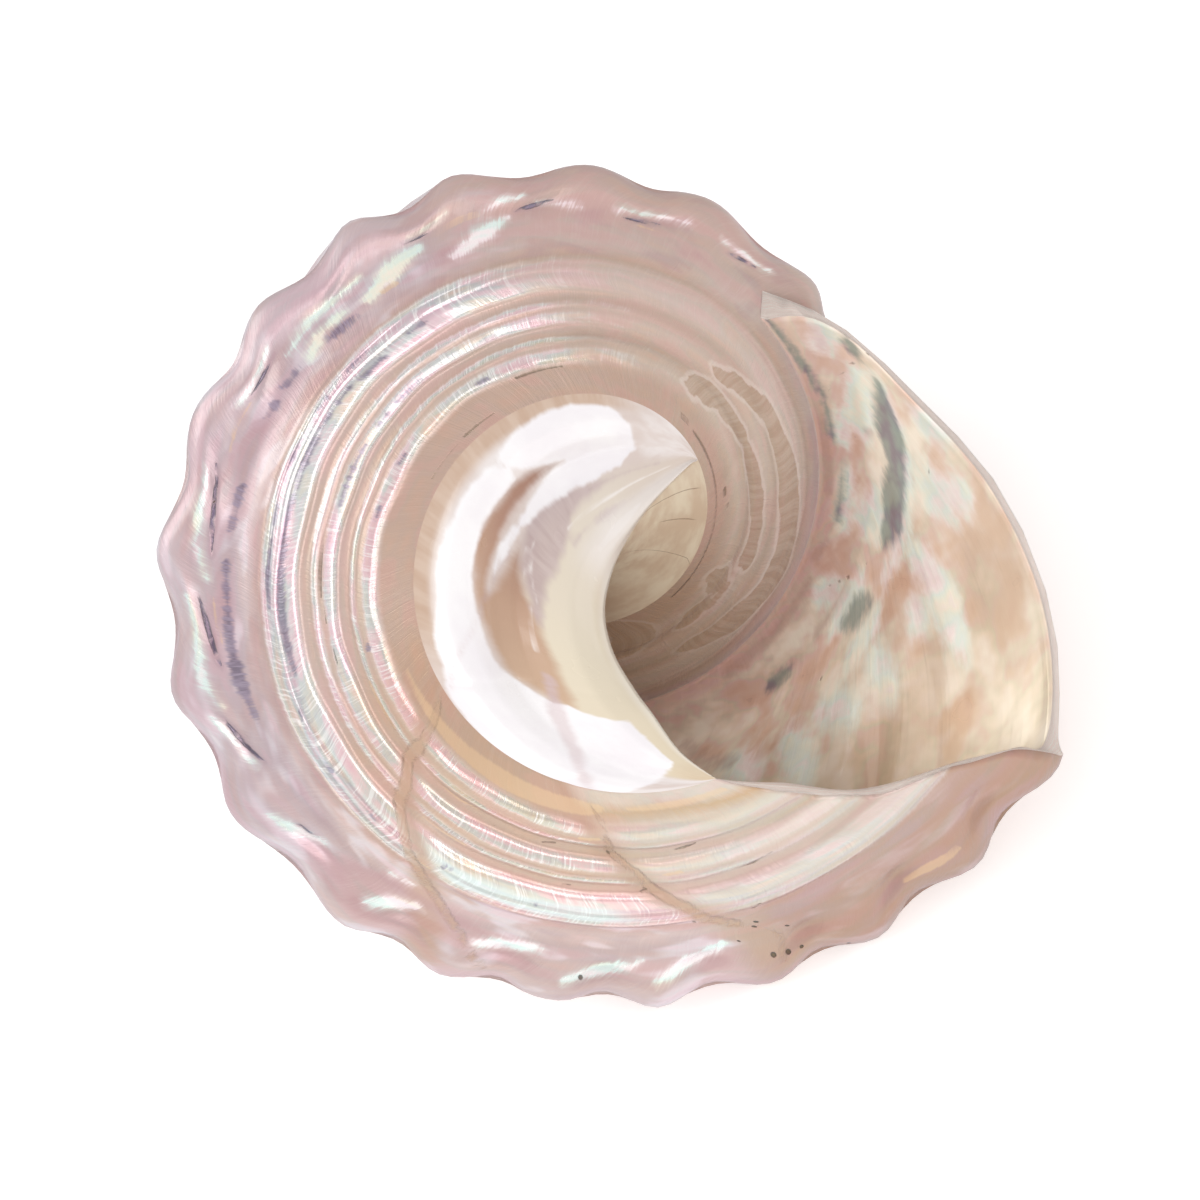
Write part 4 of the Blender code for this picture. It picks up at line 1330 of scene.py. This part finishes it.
# Clouds stretch back along the coil and slope a little towards the base.
SLOPE = 0.03
slope_row = wall_row - back_angle * SLOPE
clouds = mouth.noise(back_angle * 0.06, slope_row * 1.3, 6.0, 3.0, 0.6)
mottles = mouth.noise(back_angle * 0.11, slope_row * 2.6, 2.5, 2.5, 0.5)
fine = mouth.noise(back_angle * 0.7, slope_row * 6.0, 4.4, 3.0, 0.6)
rays = mouth.noise(back_angle * 0.5, wall_row * 0.6, 9.0, 3.0)
ragged = (mottles - 0.5) * 0.25 + (fine - 0.5) * 0.22
WALL_FIRST, WALL_LAST = 5.5, 10.5
WALL_ROWS = [(5.5, "DAC7B4"), (6.0, "DECDBB"), (6.6, "DAC4AF"), (7.1, "DEC8B5"), (7.5, "E8D5C5"),
             (8.0, "DCC2B2"), (8.3, "E6D0BF"), (8.8, "E5CDC1"), (9.3, "DFC4BA"), (9.7, "CEB0A9"),
             (10.1, "CAABA4"), (10.5, "C4A59D")]
wall_place = (wall_row + ragged * 0.6 - WALL_FIRST) / (WALL_LAST - WALL_FIRST)
mouth.colour = mouth.ramp(wall_place, stops(WALL_ROWS, WALL_FIRST, WALL_LAST))
MOTTLES = stops([(0.28, "F4D2C0"), (0.38, "FDE6D8"), (0.45, "FDE9EA"), (0.51, "EEF5E4"),
                 (0.57, "FFF3E0"), (0.64, "FBE6EC"), (0.74, "ECF5F0")])
mouth.lay(0.65, mouth.ramp(mottles, MOTTLES), "MULTIPLY")
# The nacre's own pale clouds, and painted light that makes the wall lighter near the lip.
pale_clouds_and_lip_light = mouth.ease(mottles * 0.6 + clouds * 0.5, 0.46, 0.70) * (1 - mouth.ease(wall_row, 9.3, 9.8))
pale_clouds_and_lip_light = pale_clouds_and_lip_light + (1 - mouth.ease(back_angle, 4.0, 30.0)) * 0.25
mouth.lay(pale_clouds_and_lip_light * 0.8, "FFF3E2")
mouth.lay(mouth.ease(tan_mark + ragged, -0.16, 0.14) * 0.45, "D2B7A1")
hue = mouth.ramp(mottles + (rays - 0.5) * 0.3, ORIENT)
gleam_tint = mouth.mix(0.45, paint("FFFAF4"), hue, "MULTIPLY")
# Painted highlights: the bright clouds round the slate reflections.
mouth.lay(mouth.ease(gleam_mark + ragged, -0.20, 0.08) * 0.92, gleam_tint)
mouth.lay(mouth.ease(red_mark + ragged * 0.6, -0.06, 0.07) * 0.45, "AC8880")
# Painted reflection: slate streaks where the nacre mirrors the dark side of the room.
slate = mouth.ease(slate_reflection_mark + ragged * 0.8, -0.07, 0.09)
slate_tint = mouth.tint(mottles, 0.42, 0.60, "6F6A7C", "87938C")
mouth.lay(slate * 0.8, slate_tint)
# Painted shade: the wall darkens further back in the mouth.
painted_mouth_shade = mouth.ease(back_angle, 70.0, 140.0)
mouth.lay(painted_mouth_shade * 0.3, "B4988A")
crack = mouth.ease(crack_mark, -0.012, 0.012)
mouth.lay(crack * 0.6, "7A5E50")
mouth.surface(Base_Color=mouth.colour, Metallic=0.05 + mouth.ease(gleam_mark, -0.1, 0.1) * 0.2,
              Roughness=0.32 + (mottles - 0.5) * 0.2, Coat_Weight=0.4,
              Normal=mouth.bump(rays * 0.25 + mottles * 0.7 - crack * 0.3, 0.00035, 0.6))
pearl_film(mouth)
print("mouth nodes:", len(mouth.tree.nodes))

# %% [markdown]
# ## The broken rim
# The edge of the lip isn't polished: it is chalky, whitish and rough.

# %% The rim
rim = Finish("chalky_rim")
chips = rim.noise(rim.row * 6.0, rim.along * 0.1, 2.0, 4.0, 0.65)
rim.colour = rim.tint(chips, 0.35, 0.65, "E2CCC2", "FAF0E8")
# Painted light: the edge glows a little, so that it stays pale where little light reaches it.
rim.surface(Base_Color=rim.colour, Roughness=0.5, Normal=rim.bump(chips, 0.0004, 0.8),
            Emission_Color=rim.colour, Emission_Strength=0.16)
print("rim nodes:", len(rim.tree.nodes))

# %% [markdown]
# ## Materials on their sheets
# The slots are filled in the order of the sheets' numbers. The old whorl under the mouth is
# the same surface as the outside, so it shares its finish and no seam shows between them.

# %% Slots
FINISH_OF = {OUTSIDE: outside, PORCELAIN: porcelain, PILLAR: pillar_finish, WALL: mouth,
             OLD_WHORL: outside, RIM: rim}
for sheet in sorted(FINISH_OF):
    mesh.materials.append(FINISH_OF[sheet].material)
print("materials:", [material.name for material in mesh.materials])

# %% [markdown]
# ## The camera
# The photograph looks down on the base from far away, with the shell standing on its
# keel in the picture. The camera is placed in the shell's own frame and then turned with
# it, so it looks along the same line wherever the shell lies.

# %% The camera of the picture
RIGHT = Vector((0.98716178, 0.02340131, 0.158))
UP = Vector((0.02340131, 0.95734444, -0.288))
BACK = Vector((-0.158, 0.288, 0.94450622))
PICTURE_SIZE = 1200
PIXELS_PER_MM = 9.04
TIP_PIXEL = (495.0, 389.0)
DISTANCE = 1150.0
DEPTH_OF_FOCUS = 52.0
SENSOR_WIDTH = 36.0
FARTHEST = 10.0

middle_right = (PICTURE_SIZE / 2 - TIP_PIXEL[0]) / PIXELS_PER_MM
middle_down = (PICTURE_SIZE / 2 - TIP_PIXEL[1]) / PIXELS_PER_MM
spot = RIGHT * middle_right - UP * middle_down + BACK * (DISTANCE + DEPTH_OF_FOCUS)
camera_data = bpy.data.cameras.new("camera")
camera_data.sensor_width = SENSOR_WIDTH
camera_data.lens = SENSOR_WIDTH * DISTANCE / (PICTURE_SIZE / PIXELS_PER_MM)
camera_data.clip_end = FARTHEST
camera = bpy.data.objects.new("camera", camera_data)
bpy.context.collection.objects.link(camera)
look = Matrix((RIGHT, UP, BACK)).transposed()
camera.matrix_world = Matrix.Translation(TIP_OFFSET + LYING @ spot * MM) @ (LYING @ look).to_4x4()
bpy.context.scene.camera = camera
print("camera at", [round(v, 3) for v in camera.matrix_world.translation],
      "lens", round(camera_data.lens, 1))

# %% [markdown]
# ## Floor, light and sky
# The photograph has a pure white ground and soft light from above and the left. A pale
# floor that glows a little, a bright even sky and two soft lamps give the same. The key
# lamp draws the gleams, and the fill lamp beside the camera opens the mouth's shadow.

# %% Floor, lamps and world
FLOOR_SIZE, FLOOR_GREY, FLOOR_ROUGHNESS, FLOOR_GLOW = 3.0, 0.9, 0.9, 0.35
SKY_COLOUR, SKY_STRENGTH = (1.0, 0.99, 0.98, 1), 0.70
AIM_HEIGHT = 0.03
bpy.ops.mesh.primitive_plane_add(size=FLOOR_SIZE, location=(0, 0, 0))
floor = bpy.context.object
floor.name = "floor"
floor_material = bpy.data.materials.new("pale_floor")
floor_material.use_nodes = True
floor_shader = floor_material.node_tree.nodes["Principled BSDF"]
floor_values = {"Base Color": (FLOOR_GREY, FLOOR_GREY, FLOOR_GREY, 1),
                "Roughness": FLOOR_ROUGHNESS, "Emission Color": (1, 1, 1, 1),
                "Emission Strength": FLOOR_GLOW}
for socket_name, socket_value in floor_values.items():
    floor_shader.inputs[socket_name].default_value = socket_value
floor.data.materials.append(floor_material)

world = bpy.data.worlds.new("studio")
world.use_nodes = True
sky = world.node_tree.nodes["Background"]
sky.inputs["Color"].default_value = SKY_COLOUR
sky.inputs["Strength"].default_value = SKY_STRENGTH
bpy.context.scene.world = world
bpy.context.scene.view_settings.view_transform = "Standard"


def lamp(name, direction, distance, size, power, colour):
    """A square area lamp that shines at the shell from a direction of the picture."""
    data = bpy.data.lights.new(name, "AREA")
    data.size = size
    data.energy = power
    data.color = colour
    lamp_object = bpy.data.objects.new(name, data)
    bpy.context.collection.objects.link(lamp_object)
    right, up, back = direction
    aim = (LYING @ (RIGHT * right + UP * up + BACK * back)).normalized()
    target = Vector((0, 0, AIM_HEIGHT))
    lamp_object.location = target + aim * distance
    lamp_object.rotation_euler = aim.to_track_quat("Z", "Y").to_euler()


lamp("key", direction=(-0.9, 0.25, 0.5), distance=0.9, size=0.5, power=2.2,
     colour=(1.0, 0.97, 0.95))
lamp("fill", direction=(0.25, -0.2, 1.0), distance=1.0, size=0.6, power=3.0,
     colour=(1.0, 0.98, 0.96))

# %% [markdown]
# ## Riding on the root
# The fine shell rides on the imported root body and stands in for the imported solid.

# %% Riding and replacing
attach(shell, "root")
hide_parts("shell")
